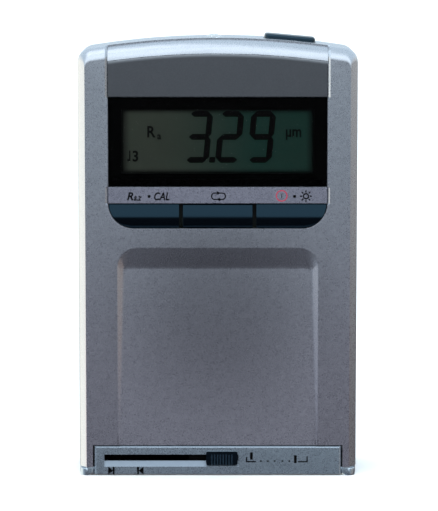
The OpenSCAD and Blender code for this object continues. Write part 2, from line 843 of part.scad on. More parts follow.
// Screw that enters the base from below
module low_screw(tip) {
  seat = runner_h + head_sink;
  rod_along_z(screw_r, seat, tip, 0, 0);
  difference() {
    rod_along_z(screw_head_r, runner_h + fit, seat, 0, 0);
    for (t = [0, 90]) translate([0, 0, runner_h + fit]) rotate([0, 0, t])
      cube([2 * screw_r, cross_w, head_sink], center = true);
  }
}

module base_screws() color("slategray") each_base_screw() low_screw(base_boss_z - 2 * pilot_end);

module chassis_screws() color("slategray") each_sill_screw() low_screw(sill_boss_z - 2 * pilot_end);

// Cast bridge that carries the rods, the screw and the motor over the pickup
module chassis() color("darkgray") difference() {
  union() {
    block([chassis_x0 - plate_t, chassis_front, chassis_low], [chassis_x0, chassis_back, chassis_top]);
    block([chassis_x1, chassis_front, body_z], [chassis_x1 + plate_t, chassis_back, chassis_top]);
    block([chassis_x0 - plate_t, chassis_front, roof_z], [chassis_x1 + plate_t, chassis_back, chassis_top]);
    block([chassis_x0 - plate_t, rear_wall_y, body_z], [chassis_x1 + plate_t, chassis_back, chassis_top]);
    block([chassis_x0 - plate_t, sill_y, body_z], [chassis_x1 + plate_t, chassis_back, body_z + sill_h]);
    each_sill_screw() rod_along_z(sill_boss_r, body_z, sill_boss_z, 0, 0);
    each_sill_screw()
      block([-sill_boss_r, 0, body_z], [sill_boss_r, chassis_back - sill_screw_y, sill_boss_z]);
  }
  each_rod() rod_along_x(rod_r + press, chassis_x0 - plate_t - past, chassis_x1 + plate_t + past, 0, 0);
  rod_along_x(bearing_r + press, chassis_x0 - plate_t - past, chassis_x0 + past, 0, rod_z);
  rod_along_x(journal_r + root, chassis_x1 - past, chassis_x1 + plate_t + past, 0, rod_z);
  each_sill_screw() rod_along_z(screw_r + press, body_z - past, sill_boss_z - pilot_end, 0, 0);
}

module guide_rods() color("lightgray") each_rod()
  rod_along_x(rod_r, chassis_x0 - plate_t, chassis_x1 + plate_t, 0, 0);

module drive_motor() color("gainsboro") difference() {
  rod_along_x(motor_r, chassis_x1 + plate_t, chassis_x1 + plate_t + motor_len, 0, rod_z);
  rod_along_x(journal_r + run_fit, chassis_x1, chassis_x1 + plate_t + motor_bore, 0, rod_z);
}

// Flat cable from the board down to the motor
module motor_ribbon() color("sandybrown") {
  high = board_low + ribbon_lap;
  bend = rod_z + motor_r + ribbon_drop;
  low = rod_z + sqrt(pow(motor_r, 2) - pow(ribbon_t, 2)) + fit;
  x = board_post_x - small_head_r - root - ribbon_w;
  along_x(x, x + ribbon_w) polygon([
    [board_back, high], [board_back, bend], [-ribbon_t, low + ribbon_w / 5], [-ribbon_t, low],
    [0, low], [0, low + ribbon_w / 5], [board_back + ribbon_t, bend], [board_back + ribbon_t, high]
  ]);
}

module lead_screw() color("lightgray") {
  rod_along_x(rod_r, chassis_x0 + slide_gap, chassis_x1 - slide_gap, 0, rod_z);
  rod_along_x(journal_r, chassis_x0 - plate_t, chassis_x0 + slide_gap, 0, rod_z);
  rod_along_x(journal_r, chassis_x1 - slide_gap, chassis_x1 + plate_t + motor_bore - slide_gap, 0, rod_z);
}

module screw_bearing() color("goldenrod") difference() {
  rod_along_x(bearing_r, chassis_x0 - plate_t, chassis_x0, 0, rod_z);
  rod_along_x(journal_r + run_fit, chassis_x0 - plate_t - past, chassis_x0 + past, 0, rod_z);
}

// Block that rides on the rods, with two lugs for the pickup's pivot
module carriage() color("whitesmoke") difference() {
  union() {
    along_x(carriage_x0, carriage_x1) translate([0, (carriage_z0 + carriage_z1) / 2])
      soft_square(2 * carriage_half, carriage_z1 - carriage_z0, carriage_r);
    for (y = [-lug_in - lug_t, lug_in]) {
      rod_along_y(hub_r, y, y + lug_t, pivot_x, pivot_z);
      block([pivot_x - hub_r, y, pivot_z], [pivot_x + hub_r, y + lug_t, carriage_z0 + root]);
    }
  }
  each_rod() rod_along_x(rod_r + run_fit, carriage_x0 - past, carriage_x1 + past, 0, 0);
  rod_along_x(rod_r + 4 * run_fit, carriage_x0 - past, carriage_x1 + past, 0, rod_z);
  rod_along_x(nut_r + press, carriage_x1 - nut_len, carriage_x1 + past, 0, rod_z);
  rod_along_y(pivot_r + press, -lug_in - lug_t - past, lug_in + lug_t + past, pivot_x, pivot_z);
}

module drive_nut() color("goldenrod") difference() {
  rod_along_x(nut_r, carriage_x1 - nut_len, carriage_x1, 0, rod_z);
  rod_along_x(rod_r + run_fit, carriage_x0, carriage_x1 + past, 0, rod_z);
}

module pivot_pin() color("lightgray") rod_along_y(pivot_r, -lug_in - lug_t, lug_in + lug_t, pivot_x, pivot_z);

// Lever with the sensor, a nose at its free end and the peg that the shutter lifts
module pickup_body() color("dimgray") difference() {
  union() {
    rod_along_y(hub_r, -pickup_w / 2, pickup_w / 2, pivot_x, pivot_z);
    along_x(tip_x - 2 * nose_r, pivot_x) translate([0, pickup_z + pickup_h / 2])
      soft_square(pickup_w, pickup_h, pickup_r);
    rod_along_z(nose_r, nose_z, pickup_z + 1, tip_x, 0);
    rod_along_y(peg_r, upstand_back + upstand_gap, 0, peg_x, peg_z);
  }
  rod_along_y(pivot_r + run_fit, -pickup_w, pickup_w, pivot_x, pivot_z);
  rod_along_z(stylus_r + press, 0, stylus_top, tip_x, 0);
}

module skid() color("firebrick") difference() {
  rod_along_z(skid_r, 3 * tip_z, nose_z, tip_x, 0);
  rod_along_z(stylus_r + fit, 0, nose_z + past, tip_x, 0);
}

module stylus() color("lightgray") translate([tip_x, 0, 0]) {
  translate([0, 0, tip_z]) cylinder(h = cone_h, r1 = tip_z, r2 = stylus_r);
  rod_along_z(stylus_r, tip_z + cone_h, stylus_top, 0, 0);
}

// Door over the stylus window, its upstand behind the slot, and the ramp under the pickup's peg
module shutter() color("slategray") difference() {
  union() {
    block([door_x0, upstand_y, shutter_z], [door_x1, sill_y - upstand_gap, shutter_z + shutter_t]);
    block([ledge_x0, upstand_y, shutter_z], [ledge_x1, upstand_back, upstand_top]);
    along_y(upstand_y, ledge_back) polygon([
      [ledge_x0, ledge_low - ledge_t], [ledge_x1, upstand_top - ledge_t],
      [ledge_x1, upstand_top], [ledge_x0, ledge_low]
    ]);
  }
  knob_stem(press);
}

module knob_stem(gap) block([knob_x - stem_w / 2 - gap, knob_back - gap, slot_z - stem_h / 2 - gap],
                            [knob_x + stem_w / 2 + gap, upstand_back - fit, slot_z + stem_h / 2 + gap]);

module slider_knob() color("midnightblue") {
  knob_stem(0);
  difference() {
    along_y(knob_front, knob_back) translate([knob_x, slot_z]) soft_square(knob_w, knob_h, knob_r);
    for (i = [0:groove_n - 1])
      rod_along_z(groove_r, 0, slot_z + knob_h / 2 - knob_brow,
                  knob_x + (i - (groove_n - 1) / 2) * groove_pitch, knob_front);
  }
}

front_cover();
back_case();
base();
nameplate();
window_mask();
display_window();
legend_strip();
key(-1);  // key_left
key(0);  // key_middle
key(1);  // key_right
start_button();
indicator_lens();
indicator_led();
lcd_glass();
light_guide();
lcd_holder();
contact_strip();
main_board();
processor_chip();
buzzer();
key_switches();
start_switch();
charging_socket();
battery();
battery_pad();
case_screws();
board_screws();
base_screws();
chassis();
chassis_screws();
guide_rods();
drive_motor();
motor_ribbon();
lead_screw();
screw_bearing();
carriage();
drive_nut();
pivot_pin();
pickup_body();
skid();
stylus();
shutter();
slider_knob();
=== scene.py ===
"""Looks of a pocket surface roughness tester, put together in the order that it is assembled."""
import math

import bmesh
import bpy
from mathutils import Matrix, Vector


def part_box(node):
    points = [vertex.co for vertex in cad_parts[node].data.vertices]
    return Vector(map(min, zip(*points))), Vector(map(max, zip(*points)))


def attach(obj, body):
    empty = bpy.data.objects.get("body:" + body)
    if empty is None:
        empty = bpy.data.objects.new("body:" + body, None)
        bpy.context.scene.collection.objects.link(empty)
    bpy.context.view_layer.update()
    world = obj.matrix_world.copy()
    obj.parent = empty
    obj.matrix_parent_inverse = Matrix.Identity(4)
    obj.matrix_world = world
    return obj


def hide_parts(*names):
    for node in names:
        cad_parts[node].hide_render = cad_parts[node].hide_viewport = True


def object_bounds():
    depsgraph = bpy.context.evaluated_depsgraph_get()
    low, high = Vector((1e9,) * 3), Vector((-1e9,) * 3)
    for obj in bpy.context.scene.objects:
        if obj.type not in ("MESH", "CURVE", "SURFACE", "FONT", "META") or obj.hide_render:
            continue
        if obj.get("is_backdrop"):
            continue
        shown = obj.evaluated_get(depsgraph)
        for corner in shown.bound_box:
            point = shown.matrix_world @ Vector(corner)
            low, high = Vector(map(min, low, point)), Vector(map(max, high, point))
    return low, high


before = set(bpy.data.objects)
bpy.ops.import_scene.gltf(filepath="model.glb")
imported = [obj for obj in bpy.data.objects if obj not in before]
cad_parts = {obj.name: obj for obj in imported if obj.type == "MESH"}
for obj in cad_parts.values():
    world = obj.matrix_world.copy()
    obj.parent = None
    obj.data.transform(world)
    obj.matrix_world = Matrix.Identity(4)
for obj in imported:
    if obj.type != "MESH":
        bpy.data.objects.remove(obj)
cad_low, cad_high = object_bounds()


# Camera
# A long lens that stands a little above the middle of the tester and looks straight at its front.
# Its distance and framing are those of the photograph, whose frame is 438 by 511 pixels.
MM = 0.001
IMAGE_TALL = 511
FOCAL_PX = 2779
AIM = Vector((0, cad_low.y, 55 * MM))
AIM_OFF_PX = (1.3, 5.9)
CAMERA_FAR = 700 * MM
CAMERA_UP = math.radians(7.1)
SENSOR = 36
CLIP_NEAR = 10 * MM
CLIP_FAR = 100

bpy.ops.object.select_all(action="DESELECT")
bpy.ops.object.camera_add(
    location=AIM + CAMERA_FAR * Vector((0, -math.cos(CAMERA_UP), math.sin(CAMERA_UP))),
    rotation=(math.pi / 2 - CAMERA_UP, 0, 0),
)
camera = bpy.context.object
camera.data.sensor_width = SENSOR
camera.data.lens = SENSOR * FOCAL_PX / IMAGE_TALL
camera.data.shift_x = AIM_OFF_PX[0] / IMAGE_TALL
camera.data.shift_y = AIM_OFF_PX[1] / IMAGE_TALL
camera.data.clip_start = CLIP_NEAR
camera.data.clip_end = CLIP_FAR
bpy.context.scene.camera = camera
bpy.context.scene.view_settings.view_transform = "Standard"


# Floor and light
# A wide sheet of pale paper under a soft sky: bright overhead and to the left, dim to the right
# and dark below, as round a tester that is photographed beside a window. One soft lamp hangs above.
class Value:
    """A socket of a node tree that can stand in a sum, and each sum adds its Math node."""

    def __init__(self, tree, socket):
        self.tree = tree
        self.socket = socket

    def math(self, operation, first, second=0.0):
        return node(self.tree, "ShaderNodeMath", {"operation": operation}, {0: first, 1: second})

    def __add__(self, other):
        return self.math("ADD", self, other)

    def __sub__(self, other):
        return self.math("SUBTRACT", self, other)

    def __rsub__(self, other):
        return self.math("SUBTRACT", other, self)

    def __mul__(self, other):
        return self.math("MULTIPLY", self, other)

    def __truediv__(self, other):
        return self.math("DIVIDE", self, other)

    def __pow__(self, other):
        return self.math("POWER", self, other)

    def __abs__(self):
        return self.math("ABSOLUTE", self)

    def ramp(self, low, high):
        """Rises smoothly from 0 where the value is low to 1 where it is high."""
        return node(self.tree, "ShaderNodeMapRange", {"interpolation_type": "SMOOTHSTEP"},
                    {"Value": self, "From Min": low, "From Max": high})

    __radd__ = __add__
    __rmul__ = __mul__


def node(tree, kind, settings=None, sockets=None, output=0):
    """Adds a node, sets its settings, then its sockets' values or links, and gives one output."""
    made = tree.nodes.new(kind)
    for name, setting in (settings or {}).items():
        setattr(made, name, setting)
    for name, value in (sockets or {}).items():
        if isinstance(value, Value):
            tree.links.new(value.socket, made.inputs[name])
        else:
            made.inputs[name].default_value = value
    return Value(tree, made.outputs[output])


def blend(tree, amount, first, second):
    """Mixes two colours, each a value or a tuple, by an amount from 0 to 1."""
    return node(tree, "ShaderNodeMix", {"data_type": "RGBA"}, {0: amount, 6: first, 7: second}, 2)


def shade(colour, factor=1.0):
    """A colour of four numbers from three, made darker or lighter by a factor."""
    return tuple(part * factor for part in colour) + (1,)


class Finish:
    """A material in the making: a name, its node tree and the constants of its one shader."""

    def __init__(self, name, **constants):
        self.material = bpy.data.materials.new(name)
        self.material.use_nodes = True
        self.tree = self.material.node_tree
        self.shader = self.tree.nodes["Principled BSDF"]
        for socket, value in constants.items():
            self.shader.inputs[socket.replace("_", " ")].default_value = value

    def node(self, kind, settings=None, sockets=None, output=0):
        return node(self.tree, kind, settings, sockets, output)

    def place(self):
        return self.node("ShaderNodeTexCoord", output="Object")

    def along(self, axis):
        """How far a point of the piece lies along the axis X, Y or Z, in metres."""
        return self.node("ShaderNodeSeparateXYZ", {}, {0: self.place()}, axis)

    def vectors(self, operation, first, second, output=0):
        return self.node("ShaderNodeVectorMath", {"operation": operation}, {0: first, 1: second}, output)

    def noise(self, grain, detail=2.0, stretch=(1, 1, 1)):
        """Cloudy noise whose patches are about grain metres across, drawn out by stretch."""
        spot = self.vectors("MULTIPLY", self.place(), stretch)
        sockets = {"Vector": spot, "Scale": 1 / grain, "Detail": detail}
        return self.node("ShaderNodeTexNoise", {}, sockets, "Fac")

    def cells(self, size):
        """A chance number from 0 to 1 for each grain of about the given size in metres."""
        sockets = {"Vector": self.place(), "Scale": 1 / size}
        colour = self.node("ShaderNodeTexVoronoi", {}, sockets, "Color")
        return self.node("ShaderNodeSeparateColor", {}, {"Color": colour})

    def blend(self, amount, first, second):
        return blend(self.tree, amount, first, second)

    def shades(self, amount, colour, span):
        """A colour times the span's first factor, or its second where the amount is 1."""
        return self.blend(amount, shade(colour, span[0]), shade(colour, span[1]))

    def bump(self, height, depth):
        """Raises the surface by up to depth metres where height is 1."""
        sockets = {"Height": height, "Distance": depth, "Strength": 1.0}
        self.link(Normal=self.node("ShaderNodeBump", {}, sockets))

    def link(self, **values):
        """Links values to the shader's sockets of these names, and gives the material."""
        for socket, value in values.items():
            self.tree.links.new(value.socket, self.shader.inputs[socket.replace("_", " ")])
        return self.material


FLOOR_SIZE = 8.0
FLOOR_CUTS = 7
PAPER_GRAIN = 20 * MM
FLOOR_PALE = (0.93, 0.89, 0.86, 1)
FLOOR_DULL = (0.9, 0.86, 0.83, 1)
SKY_FRONT = (2.25, 2.5, 2.65, 1)
SKY_TOP = (1.15, 1.38, 1.55, 1)
AHEAD = (0.2, 0.235, 0.285, 1)
LEFT_FRONT = (0.66, 0.76, 0.86, 1)
LEFT_REAR = (2.35, 2.28, 2.0, 1)
RIGHT_FRONT = (0.81, 0.78, 0.68, 1)
RIGHT_FRONT_LOW = (0.5, 0.36, 0.28, 1)
RIGHT_REAR_LOW = (0.07, 0.03, 0.022, 1)
RIGHT_REAR_HIGH = (1.3, 1.27, 1.19, 1)
BEHIND = (0.4, 0.46, 0.52, 1)
GROUND = (0.052, 0.047, 0.07, 1)
TO_LEFT_FRONT = (-0.9, -0.3)
TO_LEFT_REAR = (-0.38, -0.03)
TO_RIGHT_FRONT = (-0.9, -0.35)
TO_RIGHT_REAR = (-0.2, 0.05)
TO_RIGHT = (-0.2, 0.1)
TO_BEHIND = (0.88, 0.97)
TO_TOP = (-0.75, -0.15)
FRONT_RISE = (-0.2, -0.06)
REAR_RISE = (-0.22, 0.12)
SKY_RISE = (-0.06, 0.34)
GROUND_FALL = (0.0, 0.2)
GROUND_WIDE = (0.3, 0.7)

bpy.ops.mesh.primitive_plane_add(size=FLOOR_SIZE, location=(0, 0, 0))
floor = bpy.context.object
floor.name = "floor"
bpy.ops.object.mode_set(mode="EDIT")
bpy.ops.mesh.subdivide(number_cuts=FLOOR_CUTS)
bpy.ops.object.mode_set(mode="OBJECT")
floor.visible_glossy = False
paper = Finish("floor_paper", Roughness=0.9)
mottle = paper.noise(PAPER_GRAIN)
floor.data.materials.append(paper.link(Base_Color=paper.blend(mottle, FLOOR_PALE, FLOOR_DULL)))
floor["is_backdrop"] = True

world = bpy.data.worlds.new("studio")
world.use_nodes = True
bpy.context.scene.world = world
sky = world.node_tree
heading = node(sky, "ShaderNodeTexCoord", output="Generated")
east, north, up = (node(sky, "ShaderNodeSeparateXYZ", {}, {0: heading}, axis) for axis in range(3))
left = blend(sky, north.ramp(*TO_LEFT_FRONT), AHEAD, LEFT_FRONT)
left = blend(sky, north.ramp(*TO_LEFT_REAR), left, LEFT_REAR)
right_rear = blend(sky, up.ramp(*REAR_RISE), RIGHT_REAR_LOW, RIGHT_REAR_HIGH)
right_front = blend(sky, up.ramp(*FRONT_RISE), RIGHT_FRONT_LOW, RIGHT_FRONT)
right = blend(sky, north.ramp(*TO_RIGHT_FRONT), AHEAD, right_front)
right = blend(sky, north.ramp(*TO_RIGHT_REAR), right, right_rear)
glow = blend(sky, east.ramp(*TO_RIGHT), left, right)
glow = blend(sky, north.ramp(*TO_BEHIND), glow, BEHIND)
high = blend(sky, north.ramp(*TO_TOP), SKY_FRONT, SKY_TOP)
glow = blend(sky, up.ramp(*SKY_RISE), glow, high)
ahead_low = (up * -1).ramp(*GROUND_FALL) * (1 - abs(east).ramp(*GROUND_WIDE))
glow = blend(sky, ahead_low, glow, GROUND)
sky.links.new(glow.socket, sky.nodes["Background"].inputs["Color"])

LAMP_SIZE = 0.5
LAMP_WATTS = 1.0
LAMP_PLACE = Vector((-0.25, -0.1, 0.75))
bpy.ops.object.light_add(type="AREA", location=LAMP_PLACE)
lamp = bpy.context.object
lamp.data.size = LAMP_SIZE
lamp.data.energy = LAMP_WATTS
lamp.rotation_euler = (AIM - LAMP_PLACE).to_track_quat("-Z", "Y").to_euler()
lamp.visible_camera = False


# Front cover
# Moulded plastic shell with rounded edges, a sunk panel and a long thumb recess.
# It is sprayed with a satin silver paint full of fine metal flakes, with painted shade over the middle
# of its front, warmer low down, and a painted highlight on the panel's right chamfer by the nameplate.
COVER_SILVER = (0.37, 0.39, 0.43)
HIGHLIGHT_SILVER = (0.54, 0.57, 0.62)
FLAKE = 0.16 * MM
FLAKE_RISE = 0.0009 * MM
FLAKE_GLOSS = 0.1
FLAKE_ROUGH = 0.3
FLAKE_METAL = 0.9
FLAKE_SPAN = (0.925, 1.075)
CLOUD = 1.6 * MM
CLOUD_GLOSS = 0.08
CLOUD_SHARE = 0.3
CLOUD_TONE = 0.9
SHADE_REACH = 38 * MM
SHADE_TONE = 0.3
SHADE_FADE = (0.1, 1.0)
SHADE_AMOUNT = 0.59
WARM_TOP = 95 * MM
WARM_FADE = (0.15, 1.0)
WARM = (0.94, 0.845, 0.875, 1)
FLAT_HALF = 33.3 * MM
FLAT_FADE = (1.0, 1.02)
MERGE = 0.002 * MM
FLAT_ANGLE = math.radians(1)
SMOOTH_ANGLE = math.radians(31)
SHARP_ANGLE = math.radians(27)
SOFT_ANGLE = math.radians(2.5)
FACE_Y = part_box("front_cover")[0].y
SHADE_MIDDLE = (0, FACE_Y, 42 * MM)
SKIN = 0.05 * MM
FRONTAL = -0.998
SLANT = 0.5
PANEL_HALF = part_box("nameplate")[1].x + 0.1 * MM
PANEL_NEAR = 0.2 * MM
PANEL_BACK = FACE_Y + 4.5 * MM
PANEL_CHAMFER = 0.62 * MM
WINDOW_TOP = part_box("display_window")[1].z
STRIP_ENDS = [corner.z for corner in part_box("legend_strip")]
LIP_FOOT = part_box("key_left")[0].z - 0.5 * MM
LIP_TOP = LIP_FOOT + 8 * MM
LIP_EDGE = 0.05 * MM
RECESS_HALF = 25.5 * MM
RECESS_LOW = 8 * MM
RECESS_TOP = 59 * MM
RECESS_BACK = FACE_Y + 1.3 * MM
RECESS_RIM = 0.15 * MM
RECESS_FOOT = 0.5 * MM
HEAD_FOOT = 53 * MM
HEAD_DROP = 0.35 * MM
COVER_EDGE = 0.12 * MM


def active(piece):
    """Makes the piece the only selected one."""
    if bpy.context.object and bpy.context.object.mode != "OBJECT":
        bpy.ops.object.mode_set(mode="OBJECT")
    bpy.ops.object.select_all(action="DESELECT")
    bpy.context.view_layer.objects.active = piece
    piece.select_set(True)
    return piece


def working_copy(name):
    """A merged copy of a solid's mesh, with its flat faces made whole again."""
    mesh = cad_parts[name].data.copy()
    piece = bpy.data.objects.new(name + "_dressed", mesh)
    bpy.context.scene.collection.objects.link(piece)
    mesh.materials.clear()
    active(piece)
    bpy.ops.object.mode_set(mode="EDIT")
    bpy.ops.mesh.select_all(action="SELECT")
    bpy.ops.mesh.customdata_custom_splitnormals_clear()
    bpy.ops.mesh.remove_doubles(threshold=MERGE)
    bpy.ops.mesh.dissolve_limited(angle_limit=FLAT_ANGLE)
    bpy.ops.object.mode_set(mode="OBJECT")
    return piece


def round_edges(piece, width, steps=2, where=None, least=SHARP_ANGLE, full=False):
    """Rounds the edges that turn by more than least and pass the test where, unclamped if full."""
    active(piece)
    bpy.ops.object.mode_set(mode="EDIT")
    bpy.ops.mesh.select_mode(type="EDGE")
    bpy.ops.mesh.select_all(action="DESELECT")
    mesh = bmesh.from_edit_mesh(piece.data)
    for edge in mesh.edges:
        middle = (edge.verts[0].co + edge.verts[1].co) / 2
        turns = len(edge.link_faces) == 2 and edge.calc_face_angle() > least
        edge.select_set(turns and (where is None or where(edge, middle)))
    bmesh.update_edit_mesh(piece.data)
    bpy.ops.mesh.bevel(offset=width, segments=steps, affect="EDGES", clamp_overlap=not full)
    bpy.ops.object.mode_set(mode="OBJECT")


def dress(piece, body, slot, material, *nodes):
    """Smooths a finished piece, paints it, and hangs it on its body in place of the named solids."""
    active(piece)
    bpy.ops.object.shade_smooth_by_angle(angle=SMOOTH_ANGLE)
    even = piece.modifiers.new("even_shading", "WEIGHTED_NORMAL")
    even.keep_sharp = True
    bpy.ops.object.modifier_apply(modifier=even.name)
    piece.data.materials.clear()
    piece.data.materials.append(material)
    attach(piece, body)
    if nodes:
        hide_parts(*nodes)
    return piece


def flake_paint(name, colour, roughness=FLAKE_ROUGH, shade_amount=0.0):
    """Metal-flake paint: each flake a little lighter or darker and tilted, in a faintly cloudy coat."""
    paint = Finish(name, Metallic=FLAKE_METAL)
    flake = paint.cells(FLAKE)
    cloud = paint.noise(CLOUD)
    tone = paint.shades(flake, colour, FLAKE_SPAN)
    tone = paint.blend(cloud * CLOUD_SHARE, tone, shade(colour, CLOUD_TONE))
    # Painted shade: the paint darkens round the middle of the front and turns warmer low on the front.
    if shade_amount:
        from_middle = paint.vectors("DISTANCE", paint.place(), SHADE_MIDDLE, "Value")
        shaded = 1 - (from_middle / SHADE_REACH).ramp(*SHADE_FADE)
        tone = paint.blend(shaded * shade_amount, tone, shade(colour, SHADE_TONE))
        on_front = 1 - (abs(paint.along("X")) / FLAT_HALF).ramp(*FLAT_FADE)
        low_down = 1 - (paint.along("Z") / WARM_TOP).ramp(*WARM_FADE)
        tone = paint.vectors("MULTIPLY", tone, paint.blend(on_front * low_down, shade((1, 1, 1)), WARM))
    paint.bump(flake, FLAKE_RISE)
    gloss = (flake - 0.5) * FLAKE_GLOSS + (cloud - 0.5) * CLOUD_GLOSS
    return paint.link(Base_Color=tone, Roughness=gloss + roughness)


def on_panel_side(edge, spot):
    """True on the sunk panel's side edges where they show, by the nameplate and the legend strip."""
    beside = abs(abs(spot.x) - PANEL_HALF) < PANEL_NEAR and spot.y < PANEL_BACK
    shows = spot.z > WINDOW_TOP or STRIP_ENDS[0] < spot.z < STRIP_ENDS[1]
    return edge.is_convex and beside and shows


def on_lip(edge, spot):
    """True on the panel's lower edge, round the foot of the keys."""
    below = abs(spot.x) < PANEL_HALF and LIP_FOOT < spot.z < LIP_TOP
    return edge.is_convex and below and spot.y < FACE_Y + SKIN


def on_recess(edge, spot):
    """True on the upper and lower edges of the thumb recess's slopes."""
    inside = abs(spot.x) < RECESS_HALF and RECESS_LOW < spot.z < RECESS_TOP and spot.y < RECESS_BACK
    return inside and any(face.normal.y < FRONTAL for face in edge.link_faces)


def on_recess_rim(edge, spot):
    """True on the recess's edges that lie in the cover's front."""
    return on_recess(edge, spot) and edge.is_convex and spot.y < FACE_Y + SKIN


def on_recess_foot(edge, spot):
    """True on the recess's inner edges, where its slopes meet its bed."""
    return on_recess(edge, spot) and not edge.is_convex


# The cover's paint carries painted shade over the middle of its front and a warmer shade low down.
cover_paint = flake_paint("shaded_flake_paint", COVER_SILVER, shade_amount=SHADE_AMOUNT)
cover = working_copy("front_cover")
bpy.ops.object.mode_set(mode="EDIT")
bpy.ops.mesh.select_mode(type="VERT")
bpy.ops.mesh.select_all(action="DESELECT")
shell = bmesh.from_edit_mesh(cover.data)
for corner in shell.verts:
    inside = abs(corner.co.x) < RECESS_HALF and HEAD_FOOT < corner.co.z < RECESS_TOP
    corner.select_set(inside and corner.co.y < RECESS_BACK)
bmesh.update_edit_mesh(cover.data)
bpy.ops.transform.translate(value=(0, 0, -HEAD_DROP))
for height in (WINDOW_TOP, *STRIP_ENDS):
    bpy.ops.mesh.select_all(action="SELECT")
    bpy.ops.mesh.bisect(plane_co=(0, 0, height), plane_no=(0, 0, 1))
round_edges(cover, PANEL_CHAMFER, steps=1, where=on_panel_side, full=True)
round_edges(cover, LIP_EDGE, where=on_lip, full=True)
round_edges(cover, RECESS_FOOT, steps=4, where=on_recess_foot, least=SOFT_ANGLE, full=True)
round_edges(cover, RECESS_RIM, steps=3, where=on_recess_rim, least=SOFT_ANGLE, full=True)
round_edges(cover, COVER_EDGE, where=lambda edge, spot: not on_recess(edge, spot))
dress(cover, "casing", "silver_paint", cover_paint, "front_cover")
# Painted highlight: the chamfer on the panel's right side, beside the nameplate, gets a lighter silver.
cover.data.materials.append(flake_paint("highlight_flake_paint", HIGHLIGHT_SILVER))
for face in cover.data.polygons:
    off = face.center.x - PANEL_HALF
    slanted = face.normal.x < -SLANT and face.normal.y < -SLANT
    if slanted and 0 < off < PANEL_CHAMFER and face.center.z > WINDOW_TOP:
        face.material_index = 1


# Rear case
# Deep rear half of the casing, moulded and sprayed like the cover and closed on it at a thin seam.
# Four deep holes in its back take the screws, and its left side has the charging opening.
CASE_EDGE = 0.16 * MM
case_paint = flake_paint("silver_flake_paint", COVER_SILVER)
case = working_copy("back_case")
round_edges(case, CASE_EDGE)
dress(case, "casing", "silver_paint", case_paint, "back_case")


# Measuring base
# Cast plate under the casing, with two runners to stand on and a raised strip along its front.
# It is painted in a cooler silver, with a darker silver as painted shade in the slider's channel and on
# the strip's upper edge, and near black inside as painted shade.
BASE_SILVER = (0.36, 0.42, 0.48)
SHADED_SILVER = (0.17, 0.2, 0.24)
CHANNEL_ROUGH = 0.42
INSIDE_SHADE_BLACK = (0.004, 0.004, 0.004)
PATINA = 0.8 * MM
PATINA_SPAN = (0.7, 1.0)
PATINA_GLOSS = 0.2
PATINA_ROUGH = 0.6
BASE_EDGE = 0.1 * MM
STRIP_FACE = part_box("base")[0].y
STRIP_TOP = 7.75 * MM
STRIP_HALF = 30 * MM
STRIP_RIM = 0.25 * MM
RIM_TALL = 0.6 * MM
HAIR = 0.02 * MM
CHANNEL_ENDS = (1.8 * MM, 5.6 * MM)
CHANNEL_DEEP = 0.84 * MM
CHAMFER_FOOT = STRIP_TOP - 0.9 * MM
CHAMFER_DEEP = 0.6 * MM
CHAMFER_RISE = 0.3
INSIDE_HALF = 33 * MM
INSIDE_FOOT = 0.5 * MM
INSIDE_BACK = -STRIP_FACE - 1 * MM


def on_strip_rim(edge, spot):
    """True where the strip's front meets the chamfers along its top and its two ends."""
    outer = spot.z > STRIP_TOP - RIM_TALL or abs(spot.x) > STRIP_HALF
    return outer and spot.y < STRIP_FACE + HAIR


base_paint = flake_paint("base_flake_paint", BASE_SILVER)
base = working_copy("base")
round_edges(base, STRIP_RIM, steps=3, where=on_strip_rim, full=True)
round_edges(base, BASE_EDGE)
dress(base, "casing", "base_metal", base_paint, "base")
# Painted shade: a darker silver for the channel's faces and the strip's top chamfer.
base.data.materials.append(flake_paint("shaded_channel_flake_paint", SHADED_SILVER, CHANNEL_ROUGH))
# Painted shade: the base's inside faces are painted near black, so the slot stays dark.
dark = Finish("shade_black_metal", Metallic=0.5, Specular_IOR_Level=0.05)
patina = dark.noise(PATINA)
dark_hue = dark.shades(patina, INSIDE_SHADE_BLACK, PATINA_SPAN)
dark.link(Base_Color=dark_hue, Roughness=patina * PATINA_GLOSS + PATINA_ROUGH)
base.data.materials.append(dark.material)
for face in base.data.polygons:
    spot = face.center
    sunk = spot.y - STRIP_FACE
    inside = abs(spot.x) < INSIDE_HALF and spot.z > INSIDE_FOOT and spot.y < INSIDE_BACK
    in_channel = abs(spot.x) < STRIP_HALF and CHANNEL_ENDS[0] < spot.z < CHANNEL_ENDS[1]
    on_chamfer = face.normal.z > CHAMFER_RISE and spot.z > CHAMFER_FOOT and sunk < CHAMFER_DEEP
    if inside and sunk > CHANNEL_DEEP:
        face.material_index = 2
    elif on_chamfer or in_channel and sunk > SKIN:
        face.material_index = 1


# Nameplate
# Thin flat plate above the display, its upper edge curved like the casing's crown, left bare.
# It is sprayed in silver, darker here as painted shade, with a painted highlight along its upper edge,
# and glued into the panel.
# Painted shade: the plate's silver is darker than the casing's.
PLATE_SHADED_SILVER = (0.1, 0.104, 0.114)
PLATE_SPAN = (0.93, 1.07)
PLATE_ROUGH = 0.36
PLATE_HIGHLIGHT = (0.38, 0.4, 0.43)
BRIGHT_WIDE = 0.9 * MM
BRIGHT_FADE = (0.0, 1.1)
PLATE_EDGE = 0.08 * MM
PLATE_END = PANEL_HALF - 0.3 * MM
plate = working_copy("nameplate")
plate_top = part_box("nameplate")[1].z
right_end = [corner.co for corner in plate.data.vertices if corner.co.x > PLATE_END]
corner = max(right_end, key=lambda place: place.z)
sag = plate_top - corner.z
crown_radius = (corner.x ** 2 + sag ** 2) / (2 * sag)
crown_middle = (0, 0, plate_top - crown_radius)
round_edges(plate, PLATE_EDGE)
plate_paint = Finish("plate_flake_paint", Metallic=FLAKE_METAL)
flake = plate_paint.cells(FLAKE)
cloud = plate_paint.noise(CLOUD)
